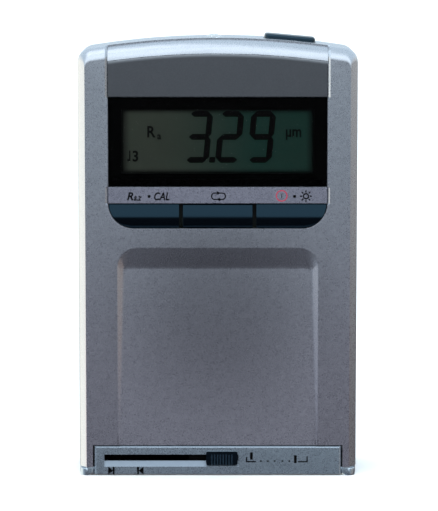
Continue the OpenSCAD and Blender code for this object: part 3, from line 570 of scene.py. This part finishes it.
flat = plate_paint.vectors("MULTIPLY", plate_paint.place(), (1, 0, 1))
reach = plate_paint.vectors("DISTANCE", flat, crown_middle, "Value")
# Painted highlight: the plate turns lighter within BRIGHT_WIDE of its curved upper edge.
highlit = ((reach - (crown_radius - BRIGHT_WIDE)) / BRIGHT_WIDE).ramp(*BRIGHT_FADE)
tone = plate_paint.shades(flake, PLATE_SHADED_SILVER, PLATE_SPAN)
tone = plate_paint.blend(highlit, tone, shade(PLATE_HIGHLIGHT))
plate_paint.bump(flake, FLAKE_RISE)
plate_gloss = (flake - 0.5) * FLAKE_GLOSS + (cloud - 0.5) * CLOUD_GLOSS
plate_paint.link(Base_Color=tone, Roughness=plate_gloss + PLATE_ROUGH)
dress(plate, "casing", "plate_paint", plate_paint.material, "nameplate")


# Display
# Liquid crystal glass in a plastic frame behind a black printed mask, under a clear acrylic window.
# Light comes from in front alone. The glass is a dark olive grey, painted greener and darker towards the
# right as painted light, and darker towards its edges as painted shade.
OLIVE = (0.022, 0.025, 0.019)
GREEN = (0.004, 0.017, 0.013)
INK = (0.0004, 0.0004, 0.0005)
ACRYLIC = (0.002, 0.002, 0.002)
LCD_HALF = 24.2 * MM
LCD_RISE = 8.1 * MM
LCD_MID = (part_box("lcd_glass")[0].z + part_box("lcd_glass")[1].z) / 2
TO_GREEN = (-0.75, 0.55)
FADE_ACROSS = (0.9, 1.01)
FADE_UP = (0.82, 1.02)
GLASS_STAIN = 6 * MM
STAIN_SHARE = 0.35
STAIN_TONE = 0.6
MASK_GRAIN = 0.4 * MM
MASK_SPAN = (0.6, 1.0)
HAZE = 3 * MM
HAZE_GLOSS = 0.04
HAZE_ROUGH = 0.03
ALPHA_POWER = 3
ALPHA_RISE = 0.8
ALPHA_FACE = 0.02
WINDOW_EDGE = 0.1 * MM


def wear(name, material):
    """Puts a finish on a solid that shows as it is."""
    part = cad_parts[name]
    part.data.materials.clear()
    part.data.materials.append(material)


glass = Finish("liquid_crystal", Roughness=0.55, Specular_IOR_Level=0.03)
# Painted light and shade: olive on the left to dark green on the right, darker towards the edges.
sideways = glass.along("X") / LCD_HALF
upwards = (glass.along("Z") - LCD_MID) / LCD_RISE
hue = glass.blend(sideways.ramp(*TO_GREEN), shade(OLIVE), shade(GREEN))
hue = glass.blend(glass.noise(GLASS_STAIN) * STAIN_SHARE, hue, shade(OLIVE, STAIN_TONE))
lit = (1 - abs(sideways).ramp(*FADE_ACROSS)) * (1 - abs(upwards).ramp(*FADE_UP))
wear("lcd_glass", glass.link(Base_Color=glass.blend(lit, shade(INK), hue)))

mask_ink = Finish("mask_ink", Roughness=0.5, Specular_IOR_Level=0.02)
mask_hue = mask_ink.shades(mask_ink.noise(MASK_GRAIN), INK, MASK_SPAN)
wear("window_mask", mask_ink.link(Base_Color=mask_hue))

acrylic = Finish("clear_acrylic", Base_Color=shade(ACRYLIC), Specular_IOR_Level=0.08)
edge_on = acrylic.node("ShaderNodeLayerWeight", {}, {"Blend": 0.5}, "Facing")
haze = acrylic.noise(HAZE)
opaque = edge_on ** ALPHA_POWER * ALPHA_RISE + ALPHA_FACE
acrylic.link(Roughness=haze * HAZE_GLOSS + HAZE_ROUGH, Alpha=opaque)
window = working_copy("display_window")
round_edges(window, WINDOW_EDGE)
dress(window, "casing", "clear_window", acrylic.material, "display_window")


# Display figures
# Reading, unit and signs that the liquid crystal shows, as black bars and letters on its glass.
# Each figure is made of up to seven slanted bars with pointed ends, a hair apart.
LCD_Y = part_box("lcd_glass")[0].y
BAR = 1.5 * MM
FIGURE_W = 6.25 * MM
FIGURE_H = 13.1 * MM
FIGURE_FOOT = 79.7 * MM
FIGURE_SLANT = math.tan(math.radians(5.5))
FILM = 0.02 * MM
FIGURES = {"abcdg": -8.55 * MM, "abged": -0.75 * MM, "abcdfg": 7.25 * MM}
GAP = 0.03 * MM
BAR_TIP = 0.2
FACING = 0.9
POINT_X = -1.45 * MM
POINT_HALF = 0.75 * MM
POINT_FOOT = FIGURE_FOOT + 0.05 * MM
POINT_TOP = FIGURE_FOOT + 1.5 * MM
POINT_ROUND = 0.3 * MM
LETTER_BOLD = 0.025
INK_GRAIN = 0.15 * MM
INK_SPAN = (0.5, 1.2)


def bar_between(start, end, y):
    """One pointed bar of a figure, from start to end in X and Z, lying on the plane y."""
    along = Vector((end[0] - start[0], 0, end[1] - start[1]))
    half = along.length / 2 - GAP
    bpy.ops.object.select_all(action="DESELECT")
    bpy.ops.mesh.primitive_cube_add(size=1, location=(0, 0, 0))
    bar = bpy.context.object
    bar.scale = (2 * (half - BAR / 2), FILM, BAR)
    bpy.ops.object.transform_apply(location=False, rotation=False, scale=True)
    bpy.ops.object.mode_set(mode="EDIT")
    bpy.ops.mesh.select_mode(type="FACE")
    for side in (-1, 1):
        bpy.ops.mesh.select_all(action="DESELECT")
        mesh = bmesh.from_edit_mesh(bar.data)
        for face in mesh.faces:
            face.select_set(face.normal.x * side > FACING)
        bmesh.update_edit_mesh(bar.data)
        bpy.ops.mesh.extrude_region_move(TRANSFORM_OT_translate={"value": (side * BAR / 2, 0, 0)})
        bpy.ops.transform.resize(value=(1, 1, BAR_TIP))
    bpy.ops.object.mode_set(mode="OBJECT")
    bar.rotation_euler = (0, -math.atan2(along.z, along.x), 0)
    bar.location = ((start[0] + end[0]) / 2, y - FILM / 2, (start[1] + end[1]) / 2)
    bpy.ops.object.transform_apply(location=True, rotation=True, scale=False)
    return bar


def joined(parts, name):
    """Joins parts to one piece with its own mesh."""
    active(parts[0])
    for part in parts:
        part.select_set(True)
    bpy.ops.object.join()
    parts[0].name = name
    parts[0].data.name = name
    return parts[0]


def lettering(text, left, foot, height, y, width=None, slant=0.0):
    """Flat letters on the plane y, set by their left end, their foot and their height and width."""
    bpy.ops.object.select_all(action="DESELECT")
    bpy.ops.object.text_add(location=(0, 0, 0))
    letters = bpy.context.object
    letters.data.body = text
    letters.data.shear = slant
    letters.data.extrude = FILM / 2
    letters.data.offset = LETTER_BOLD
    bpy.ops.object.convert(target="MESH")
    corners = [vertex.co for vertex in letters.data.vertices]
    low = Vector((min(c.x for c in corners), min(c.y for c in corners), 0))
    high = Vector((max(c.x for c in corners), max(c.y for c in corners), 0))
    tall = height / (high.y - low.y)
    wide = width / (high.x - low.x) if width else tall
    grow = Matrix.Diagonal((wide, tall, 1, 1))
    stand = Matrix.Rotation(math.pi / 2, 4, "X")
    put = Matrix.Translation((left, y - FILM / 2, foot))
    letters.data.transform(put @ stand @ grow @ Matrix.Translation(-low))
    return letters


def rounded_box(low, high, rounding, steps=3, axis=1):
    """A box between two corners, with its edges along one axis rounded, which is Y if not said."""
    bpy.ops.object.select_all(action="DESELECT")
    middle = [(a + b) / 2 for a, b in zip(low, high)]
    bpy.ops.mesh.primitive_cube_add(size=1, location=middle)
    piece = bpy.context.object
    piece.scale = [b - a for a, b in zip(low, high)]
    bpy.ops.object.transform_apply(location=True, rotation=False, scale=True)
    round_edges(piece, rounding, steps,
                lambda edge, spot: abs(edge.verts[0].co[axis] - edge.verts[1].co[axis]) > FILM / 2)
    return piece


marks = []
for bars, left in FIGURES.items():
    left = left + BAR / 2
    right = left + FIGURE_W - BAR
    low, mid, high = (FIGURE_FOOT + BAR / 2 + part * (FIGURE_H - BAR) for part in (0, 0.5, 1))
    ends = {
        "a": (left, high, right, high), "b": (right, mid, right, high), "c": (right, low, right, mid),
        "d": (left, low, right, low), "e": (left, low, left, mid), "f": (left, mid, left, high),
        "g": (left, mid, right, mid),
    }
    for bar in bars:
        x0, z0, x1, z1 = ends[bar]
        marks.append(bar_between((x0, z0), (x1, z1), LCD_Y))
point_low = (POINT_X - POINT_HALF, LCD_Y - FILM, POINT_FOOT)
point_high = (POINT_X + POINT_HALF, LCD_Y, POINT_TOP)
marks.append(rounded_box(point_low, point_high, POINT_ROUND))
figures = joined(marks, "display_figures")
slope = Matrix.Identity(4)
slope[0][2] = FIGURE_SLANT
about = Matrix.Translation((0, 0, FIGURE_FOOT))
figures.data.transform(about @ slope @ about.inverted())
SIGNS = [
    ("R", -17.7, 86.1, 2.9, 2.1), ("a", -15.2, 85.6, 1.3, 1.0),
    ("µm", 17.1, 85.5, 2.7, 3.9), ("3", -21.4, 80.0, 2.8, 1.4),
]
HOOK = [(-22.3, -21.95, 80.1, 82.8, 0.1), (-22.75, -22.2, 80.1, 80.7, 0.2)]
signs = []
for text, x, z, tall, wide in SIGNS:
    signs.append(lettering(text, x * MM, z * MM, tall * MM, LCD_Y, wide * MM))
for x0, x1, z0, z1, rounding in HOOK:
    hook_low = (x0 * MM, LCD_Y - FILM, z0 * MM)
    hook_high = (x1 * MM, LCD_Y, z1 * MM)
    signs.append(rounded_box(hook_low, hook_high, rounding * MM))
figures = joined([figures, *signs], "display_figures")
ink = Finish("black_ink", Roughness=0.6, Specular_IOR_Level=0.04)
black_ink = ink.link(Base_Color=ink.shades(ink.noise(INK_GRAIN), INK, INK_SPAN))
dress(figures, "casing", "black_mask", black_ink)


# Legend strip
# Raised bar between the window and the keys, moulded in plastic and sprayed like the casing.
# The legends of the keys are printed on it in black, and the power sign in red.
LEGEND_SILVER = (0.33, 0.325, 0.39)
POWER_RED = (0.42, 0.012, 0.045)
RED_SPAN = (1.0, 0.8)
STRIP_EDGE = 0.13 * MM
LEGEND_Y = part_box("legend_strip")[0].y
LEGEND_MID = 71.4 * MM
LEGEND_SLANT = 0.25
LEGENDS = [
    ("R", -22.8, 70.35, 2.05, 1.6), ("a,z", -21.1, 70.0, 1.4, 2.0),
    ("CAL", -16.0, 70.35, 2.05, 3.9),
]
BAR_ROUND = 0.3
DOTS_AT = (-17.62, 18.98)
DOT = 0.72
DOT_FOOT = 71.0
LIGHT_X = 22.2 * MM
LIGHT_RADIUS = 0.8 * MM
LIGHT_STROKE = 0.34 * MM
RAYS = 8
RAY = (0.95, 1.5, -0.17, 0.17)
LOOP_X = 0.2 * MM
LOOP_HALF = 0.95 * MM
LOOP_STROKE = 0.3 * MM
ARROW_OFF = Vector((0.4 * MM, 0, 0.8 * MM))
ARROW_LONG = 0.9 * MM
ARROW_TALL = 1.0 * MM
POWER = (16.1 * MM, 71.5 * MM, 1.45 * MM, 0.25 * MM)
POWER_BAR = (16.03, 16.17, 70.9, 72.1)
RING_STEPS = 40
STROKE_STEPS = 8
legend = rounded_box(*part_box("legend_strip"), STRIP_EDGE)
round_edges(legend, STRIP_EDGE)
legend.name = "legend_strip_dressed"
legend_paint = flake_paint("legend_flake_paint", LEGEND_SILVER)
dress(legend, "casing", "silver_paint", legend_paint, "legend_strip")


def ring(x, z, radius, stroke, y):
    """A flat printed ring."""
    bpy.ops.object.select_all(action="DESELECT")
    bpy.ops.mesh.primitive_torus_add(major_radius=radius - stroke / 2, minor_radius=stroke / 2,
                                     major_segments=RING_STEPS, minor_segments=STROKE_STEPS)
    piece = bpy.context.object
    put = Matrix.Translation((x, y - FILM / 2, z)) @ Matrix.Rotation(math.pi / 2, 4, "X")
    piece.data.transform(put @ Matrix.Diagonal((1, 1, FILM / stroke, 1)))
    return piece


def printed_bar(x0, x1, z0, z1, y):
    """A printed bar with soft corners on the plane y, its ends in X and Z given in millimetres."""
    thin = min(x1 - x0, z1 - z0) * MM
    return rounded_box((x0 * MM, y - FILM, z0 * MM), (x1 * MM, y, z1 * MM), BAR_ROUND * thin)


def wedge(x, z, length, height, y):
    """A printed triangle whose tip is length off its upright side, to the left if negative."""
    bpy.ops.object.select_all(action="DESELECT")
    bpy.ops.mesh.primitive_cylinder_add(vertices=3, radius=1, depth=FILM)
    piece = bpy.context.object
    corners = piece.data.vertices
    reach = [corner.co.x for corner in corners], [corner.co.y for corner in corners]
    width, depth = max(reach[0]) - min(reach[0]), max(reach[1]) - min(reach[1])
    put = Matrix.Translation((x, y - FILM / 2, z)) @ Matrix.Rotation(math.pi / 2, 4, "X")
    turn = Matrix.Rotation(-math.pi / 2, 4, "Z")
    size = Matrix.Diagonal((length / depth, height / width, 1, 1))
    piece.data.transform(put @ size @ turn @ Matrix.Translation((0, -min(reach[1]), 0)))
    if length < 0:
        piece.data.flip_normals()
    return piece


prints = []
for text, x, z, tall, wide in LEGENDS:
    prints.append(lettering(text, x * MM, z * MM, tall * MM, LEGEND_Y, wide * MM, LEGEND_SLANT))
for x in DOTS_AT:
    prints.append(printed_bar(x, x + DOT, DOT_FOOT, DOT_FOOT + DOT, LEGEND_Y))
prints.append(printed_bar(*POWER_BAR, LEGEND_Y))
prints.append(ring(LIGHT_X, LEGEND_MID, LIGHT_RADIUS, LIGHT_STROKE, LEGEND_Y))
for turn in range(RAYS):
    ray = printed_bar(*RAY, 0)
    spoke = Matrix.Rotation(turn * 2 * math.pi / RAYS, 4, "Y")
    ray.data.transform(Matrix.Translation((LIGHT_X, LEGEND_Y, LEGEND_MID)) @ spoke)
    prints.append(ray)
loop = ring(0, 0, LOOP_HALF, LOOP_STROKE, 0)
for corner in loop.data.vertices:
    corner.co.x += math.copysign(LOOP_HALF, corner.co.x)
loop.data.transform(Matrix.Translation((LOOP_X, LEGEND_Y, LEGEND_MID)))
prints.append(loop)
for way in (1, -1):
    arrow = Vector((LOOP_X - way * ARROW_OFF.x, 0, LEGEND_MID + way * ARROW_OFF.z))
    prints.append(wedge(arrow.x, arrow.z, way * ARROW_LONG, ARROW_TALL, LEGEND_Y))
dress(joined(prints, "key_legends"), "casing", "black_mask", black_ink)

red = Finish("red_ink", Roughness=0.55)
red_hue = red.shades(red.noise(INK_GRAIN), POWER_RED, RED_SPAN)
power = ring(*POWER, LEGEND_Y)
dress(joined([power], "power_legend"), "casing", "ruby", red.link(Base_Color=red_hue))


# Keys
# Three caps of dark blue-black plastic with a satin gloss, their faces in two slopes that meet in a
# soft ridge. Each slides in the cover's opening and presses a switch on the board behind it.
KEY_BLUE = (0.0008, 0.0012, 0.0018)
KEY_EDGE = 0.22 * MM
KEY_ARCH = 7.4 * MM
KEY_RIDGE = 0.43
KEY_SOFT = 0.12
SHEEN = (0.32, 0.68, 1.0, 1)
PLASTIC_GRAIN = 0.35 * MM
PLASTIC_CLOUD = 4 * MM
PLASTIC_SPAN = (0.9, 1.12)
PLASTIC_RISE = 0.004 * MM
PLASTIC_GLOSS = 0.12


def satin_plastic(name, colour, roughness, grain=PLASTIC_GRAIN, **constants):
    """Moulded plastic: a nearly even colour, a fine eroded grain and a varying gloss."""
    plastic = Finish(name, **constants)
    fine = plastic.noise(grain)
    tone = plastic.shades(plastic.noise(PLASTIC_CLOUD), colour, PLASTIC_SPAN)
    plastic.bump(fine, PLASTIC_RISE)
    return plastic.link(Base_Color=tone, Roughness=(fine - 0.5) * PLASTIC_GLOSS + roughness)


def in_two_slopes(key, low, high):
    """Moves the points of a key's arched face onto two slopes, the upper one the taller."""
    middle, half = (low.z + high.z) / 2, (high.z - low.z) / 2
    ridge = low.z + KEY_RIDGE * (high.z - low.z)
    drop = KEY_ARCH - math.sqrt(KEY_ARCH ** 2 - half ** 2)
    for corner in key.data.vertices:
        off = corner.co.z - middle
        arch = low.y + KEY_ARCH - math.sqrt(KEY_ARCH ** 2 - off ** 2)
        if abs(corner.co.y - arch) < HAIR:
            share = (corner.co.z - ridge) / ((high.z if corner.co.z > ridge else low.z) - ridge)
            fall = (math.hypot(share, KEY_SOFT) - KEY_SOFT) / (math.hypot(1, KEY_SOFT) - KEY_SOFT)
            corner.co.y = low.y + drop * fall


key_plastic = satin_plastic(
    "key_plastic", KEY_BLUE, roughness=0.2, Specular_Tint=SHEEN, Specular_IOR_Level=0.28)
for side in ("left", "middle", "right"):
    key = working_copy("key_" + side)
    in_two_slopes(key, *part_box("key_" + side))
    round_edges(key, KEY_EDGE, steps=3)
    dress(key, "key_" + side, "key_plastic", key_plastic, "key_" + side)


# Start button and indicator
# The start button is a dark satin cap in the crown of the rear case, like the keys.
# The indicator is a small clear dome with a frosted light pipe under it.
START_BLUE = (0.006, 0.007, 0.008)
START_EDGE = 0.6 * MM
START_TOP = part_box("start_button")[1].z - 1.6 * MM
LENS_CLEAR = (0.9, 0.94, 0.98)
FROST = 0.2 * MM
FROST_RISE = 0.003 * MM
FROST_GLOSS = 0.15
FROST_ROUGH = 0.08
start = working_copy("start_button")
round_edges(start, START_EDGE, steps=4, where=lambda edge, spot: spot.z > START_TOP, full=True)
start_plastic = satin_plastic("start_plastic", START_BLUE, roughness=0.35, Specular_Tint=SHEEN)
dress(start, "start_button", "key_plastic", start_plastic, "start_button")

clear = Finish("clear_lens", Base_Color=shade(LENS_CLEAR), IOR=1.49, Transmission_Weight=0.6)
frost = clear.noise(FROST)
clear.bump(frost, FROST_RISE)
clear.link(Roughness=frost * FROST_GLOSS + FROST_ROUGH)
lens = working_copy("indicator_lens")
dress(lens, "casing", "clear_lens", clear.material, "indicator_lens")


# Slider and shutter
# Ribbed knob of black gloss plastic in the base's channel, pressed through the slot into the
# shutter. The shutter is a black sliding door behind the strip, with the ramp that lifts the pickup.
KNOB_BLACK = (0.0015, 0.002, 0.003)
KNOB_ROUGH = 0.2
KNOB_RISE = 0.003 * MM
KNOB_EDGE = 0.09 * MM
KNOB_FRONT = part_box("slider_knob")[0].y
GROOVE_HIGHLIGHT = (0.013, 0.022, 0.033)
GROOVE_DEEP = 0.22 * MM
GROOVE_RISE = (0.2, 1.0)
FLECK = 0.4
FLECK_LOW = 0.8
SHUTTER_BLACK = (0.002, 0.002, 0.002)
SHUTTER_EDGE = 0.12 * MM
knob = working_copy("slider_knob")
round_edges(knob, KNOB_EDGE)
gloss = Finish("knob_plastic", Specular_Tint=SHEEN, Specular_IOR_Level=0.35)
fine = gloss.noise(PLASTIC_GRAIN)
# Painted highlight: the bottoms of the knob's grooves are painted a lighter blue.
groove_highlight = ((gloss.along("Y") - KNOB_FRONT) / GROOVE_DEEP).ramp(*GROOVE_RISE)
groove_highlight = groove_highlight * (fine * FLECK + FLECK_LOW)
gloss_hue = gloss.blend(groove_highlight, shade(KNOB_BLACK), shade(GROOVE_HIGHLIGHT))
gloss.bump(fine, KNOB_RISE)
gloss.link(Base_Color=gloss_hue, Roughness=(fine - 0.5) * PLASTIC_GLOSS + KNOB_ROUGH)
dress(knob, "shutter", "key_plastic", gloss.material, "slider_knob")
shutter = working_copy("shutter")
round_edges(shutter, SHUTTER_EDGE)
shutter_plastic = satin_plastic("shutter_plastic", SHUTTER_BLACK, roughness=0.6, Specular_IOR_Level=0.05)
dress(shutter, "shutter", "grey_plastic", shutter_plastic, "shutter")


# Feet
# Two small feet cast on the front corners of the base, at the ends of its runners.
# They are painted with it and carry the bright touch of light at the tester's lower corners.
FOOT_IN, FOOT_OUT = 31.6 * MM, 34.95 * MM
FOOT_BACK = -8 * MM
FOOT_TALL = 1.95 * MM
FOOT_ROUND = 1.6 * MM
FOOT_EDGE = 0.28 * MM
feet = []
for way in (-1, 1):
    ends = sorted((way * FOOT_IN, way * FOOT_OUT))
    foot_low = (ends[0], STRIP_FACE, 0)
    foot_high = (ends[1], FOOT_BACK, FOOT_TALL)
    foot = rounded_box(foot_low, foot_high, FOOT_ROUND, steps=6, axis=2)
    round_edges(foot, FOOT_EDGE)
    feet.append(foot)
dress(joined(feet, "feet"), "casing", "base_metal", base_paint)


# Marks on the base
# Black marks printed on the base's front strip: two stops of the slider below its channel,
# and a sign for the stylus lifted, on its way and lowered.
STOPS = ((-27.05, 1), (-19.7, -1))
STOP_HALF = 0.82
STOP_LONG = 1.25
STOP_TALL = 2.05
STOP_MID = 1.25
STOP_BAR = 0.34
STOP_ENDS = (0.25, 2.25)
DOTS = (10.98, 12.78, 14.49, 16.44, 18.22)
DOT_HALF = 0.22
DOT_ENDS = (3.5, 3.94)
LIFTED = [(7.2, 9.75, 3.4, 3.72), (7.2, 7.52, 3.4, 4.8), (8.22, 8.92, 4.1, 6.0)]
LOWERED = [(19.4, 20.1, 3.2, 5.2), (20.4, 22.9, 3.4, 3.72), (22.58, 22.9, 3.4, 4.95)]
stamps = []
for x, way in STOPS:
    tail = (x - way * STOP_HALF) * MM
    stamps.append(wedge(tail, STOP_MID * MM, way * STOP_LONG * MM, STOP_TALL * MM, STRIP_FACE))
    sides = sorted((x + way * STOP_BAR, x + way * STOP_HALF))
    stamps.append(printed_bar(*sides, *STOP_ENDS, STRIP_FACE))
stamps += [printed_bar(x - DOT_HALF, x + DOT_HALF, *DOT_ENDS, STRIP_FACE) for x in DOTS]
stamps += [printed_bar(*bar, STRIP_FACE) for bar in LIFTED + LOWERED]
dress(joined(stamps, "base_marks"), "casing", "black_mask", black_ink)


# Screws and charging socket
# Zinc-plated cross-head screws: four from behind hold the casing, the others the board, base
# and drive. The charging socket is a black moulding on the board that shows in the left side.
STEEL = (0.5, 0.5, 0.52)
TOOL_LINE = 0.12 * MM
TOOL_RISE = 0.003 * MM
TOOL_GLOSS = 0.16
TOOL_LOW = 0.06
METAL_STAIN = 2.5 * MM
METAL_SPAN = (0.88, 1.08)
SCREW_EDGE = 0.07 * MM
SOCKET_BLACK = (0.012, 0.012, 0.013)
SOCKET_EDGE = 0.15 * MM


def drawn_metal(name, colour, roughness=0.28, along=(1, 1, 1)):
    """Machined or drawn metal: fine tool lines and a slight stain."""
    metal = Finish(name, Metallic=1.0)
    lines = metal.noise(TOOL_LINE, stretch=along)
    tone = metal.shades(metal.noise(METAL_STAIN), colour, METAL_SPAN)
    metal.bump(lines, TOOL_RISE)
    return metal.link(Base_Color=tone, Roughness=lines * TOOL_GLOSS + (roughness - TOOL_LOW))


screw_steel = drawn_metal("screw_steel", STEEL)
for name in ("case_screws", "base_screws", "chassis_screws"):
    screws = working_copy(name)
    round_edges(screws, SCREW_EDGE)
    dress(screws, "casing", "steel", screw_steel, name)
wear("board_screws", screw_steel)
socket = working_copy("charging_socket")
round_edges(socket, SOCKET_EDGE)
black_plastic = satin_plastic("black_plastic", SOCKET_BLACK, roughness=0.4)
dress(socket, "casing", "black_plastic", black_plastic, "charging_socket")


# Board and display carrier
# Glass-fibre board in green solder mask, with its chip, buzzer, switches and light.
# The display sits in a black frame on it, over a white light guide and a strip of rubber contacts.
MASK_GREEN = (0.002, 0.012, 0.006)
TRACK_GREEN = (0.005, 0.024, 0.011)
WHITE = (0.72, 0.73, 0.7)
LED_GREEN = (0.2, 0.6, 0.25)
RUBBER = (0.02, 0.021, 0.023)
RUBBER_GRAIN = 0.1 * MM
TRACK = 1.2 * MM
TRACK_RISE = 0.02 * MM
TRACK_STEP = (0.48, 0.52)
ALONG_BOARD = (1, 1, 0.2)
board = Finish("solder_mask", Roughness=0.35)
tracks = board.noise(TRACK, detail=0.0, stretch=ALONG_BOARD).ramp(*TRACK_STEP)
board.bump(tracks, TRACK_RISE)
board_hue = board.blend(tracks, shade(MASK_GREEN), shade(TRACK_GREEN))
wear("main_board", board.link(Base_Color=board_hue))
white_plastic = satin_plastic("white_plastic", WHITE, roughness=0.45)
for name in ("light_guide", "key_switches", "start_switch", "carriage"):
    wear(name, white_plastic)
for name in ("lcd_holder", "processor_chip", "buzzer"):
    wear(name, black_plastic)
wear("contact_strip", satin_plastic("contact_rubber", RUBBER, roughness=0.7, grain=RUBBER_GRAIN))
wear("indicator_led", satin_plastic("led_resin", LED_GREEN, roughness=0.2))


# Battery
# Flat rechargeable cell in a blue shrink sleeve, held against the rear case by a pad of foam.
# The pad is cut from a grey sheet with open pores.
SLEEVE = (0.02, 0.06, 0.22)
SLEEVE_GRAIN = 1.5 * MM
FOAM = (0.45, 0.45, 0.43)
FOAM_SPAN = (0.75, 1.1)
PORE = 0.4 * MM
PORE_DEEP = 0.15 * MM
wear("battery", satin_plastic("cell_sleeve", SLEEVE, roughness=0.3, grain=SLEEVE_GRAIN))
pad = Finish("open_foam", Roughness=0.95)
pores = pad.cells(PORE)
pad.bump(pores, PORE_DEEP)
wear("battery_pad", pad.link(Base_Color=pad.shades(pores, FOAM, FOAM_SPAN)))


# Drive
# Cast bridge on the base that carries two ground rods, the lead screw in its brass bearing
# and the motor. A flat copper-coloured ribbon joins the motor to the board.
CAST = (0.33, 0.34, 0.36)
CAST_COARSE = (0.6, 0.6, 0.6)
BRASS = (0.6, 0.42, 0.16)
RIBBON = (0.36, 0.16, 0.04)
ALONG_RODS = (0.1, 1, 1)
wear("chassis", drawn_metal("cast_metal", CAST, roughness=0.5, along=CAST_COARSE))
ground_steel = drawn_metal("ground_steel", STEEL, roughness=0.2, along=ALONG_RODS)
for name in ("guide_rods", "drive_motor", "lead_screw"):
    wear(name, ground_steel)
turned_brass = drawn_metal("turned_brass", BRASS, roughness=0.25)
for name in ("screw_bearing", "drive_nut"):
    wear(name, turned_brass)
wear("motor_ribbon", satin_plastic("ribbon_film", RIBBON, roughness=0.35))


# Pickup
# Lever of dull black plastic on a steel pin, with a ruby skid and a steel stylus at its free end.
# The nose reaches down through the window of the base while the shutter is open.
LEVER_BLACK = (0.006, 0.006, 0.007)
LEVER_EDGE = 0.1 * MM
RUBY = (0.3, 0.008, 0.02)
RUBY_GRAIN = 0.2 * MM
lever = working_copy("pickup_body")
round_edges(lever, LEVER_EDGE)
lever_plastic = satin_plastic("lever_plastic", LEVER_BLACK, roughness=0.6, Specular_IOR_Level=0.05)
dress(lever, "pickup", "grey_plastic", lever_plastic, "pickup_body")
wear("pivot_pin", ground_steel)
wear("stylus", ground_steel)
wear("skid", satin_plastic("ruby", RUBY, roughness=0.1, grain=RUBY_GRAIN))


# Sizes
# The solids' box and the dressed model's box, put side by side in a table so that the two can be
# compared.
low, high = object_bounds()
boxes = {"cad": [list(cad_low), list(cad_high)], "visual": [list(low), list(high)]}
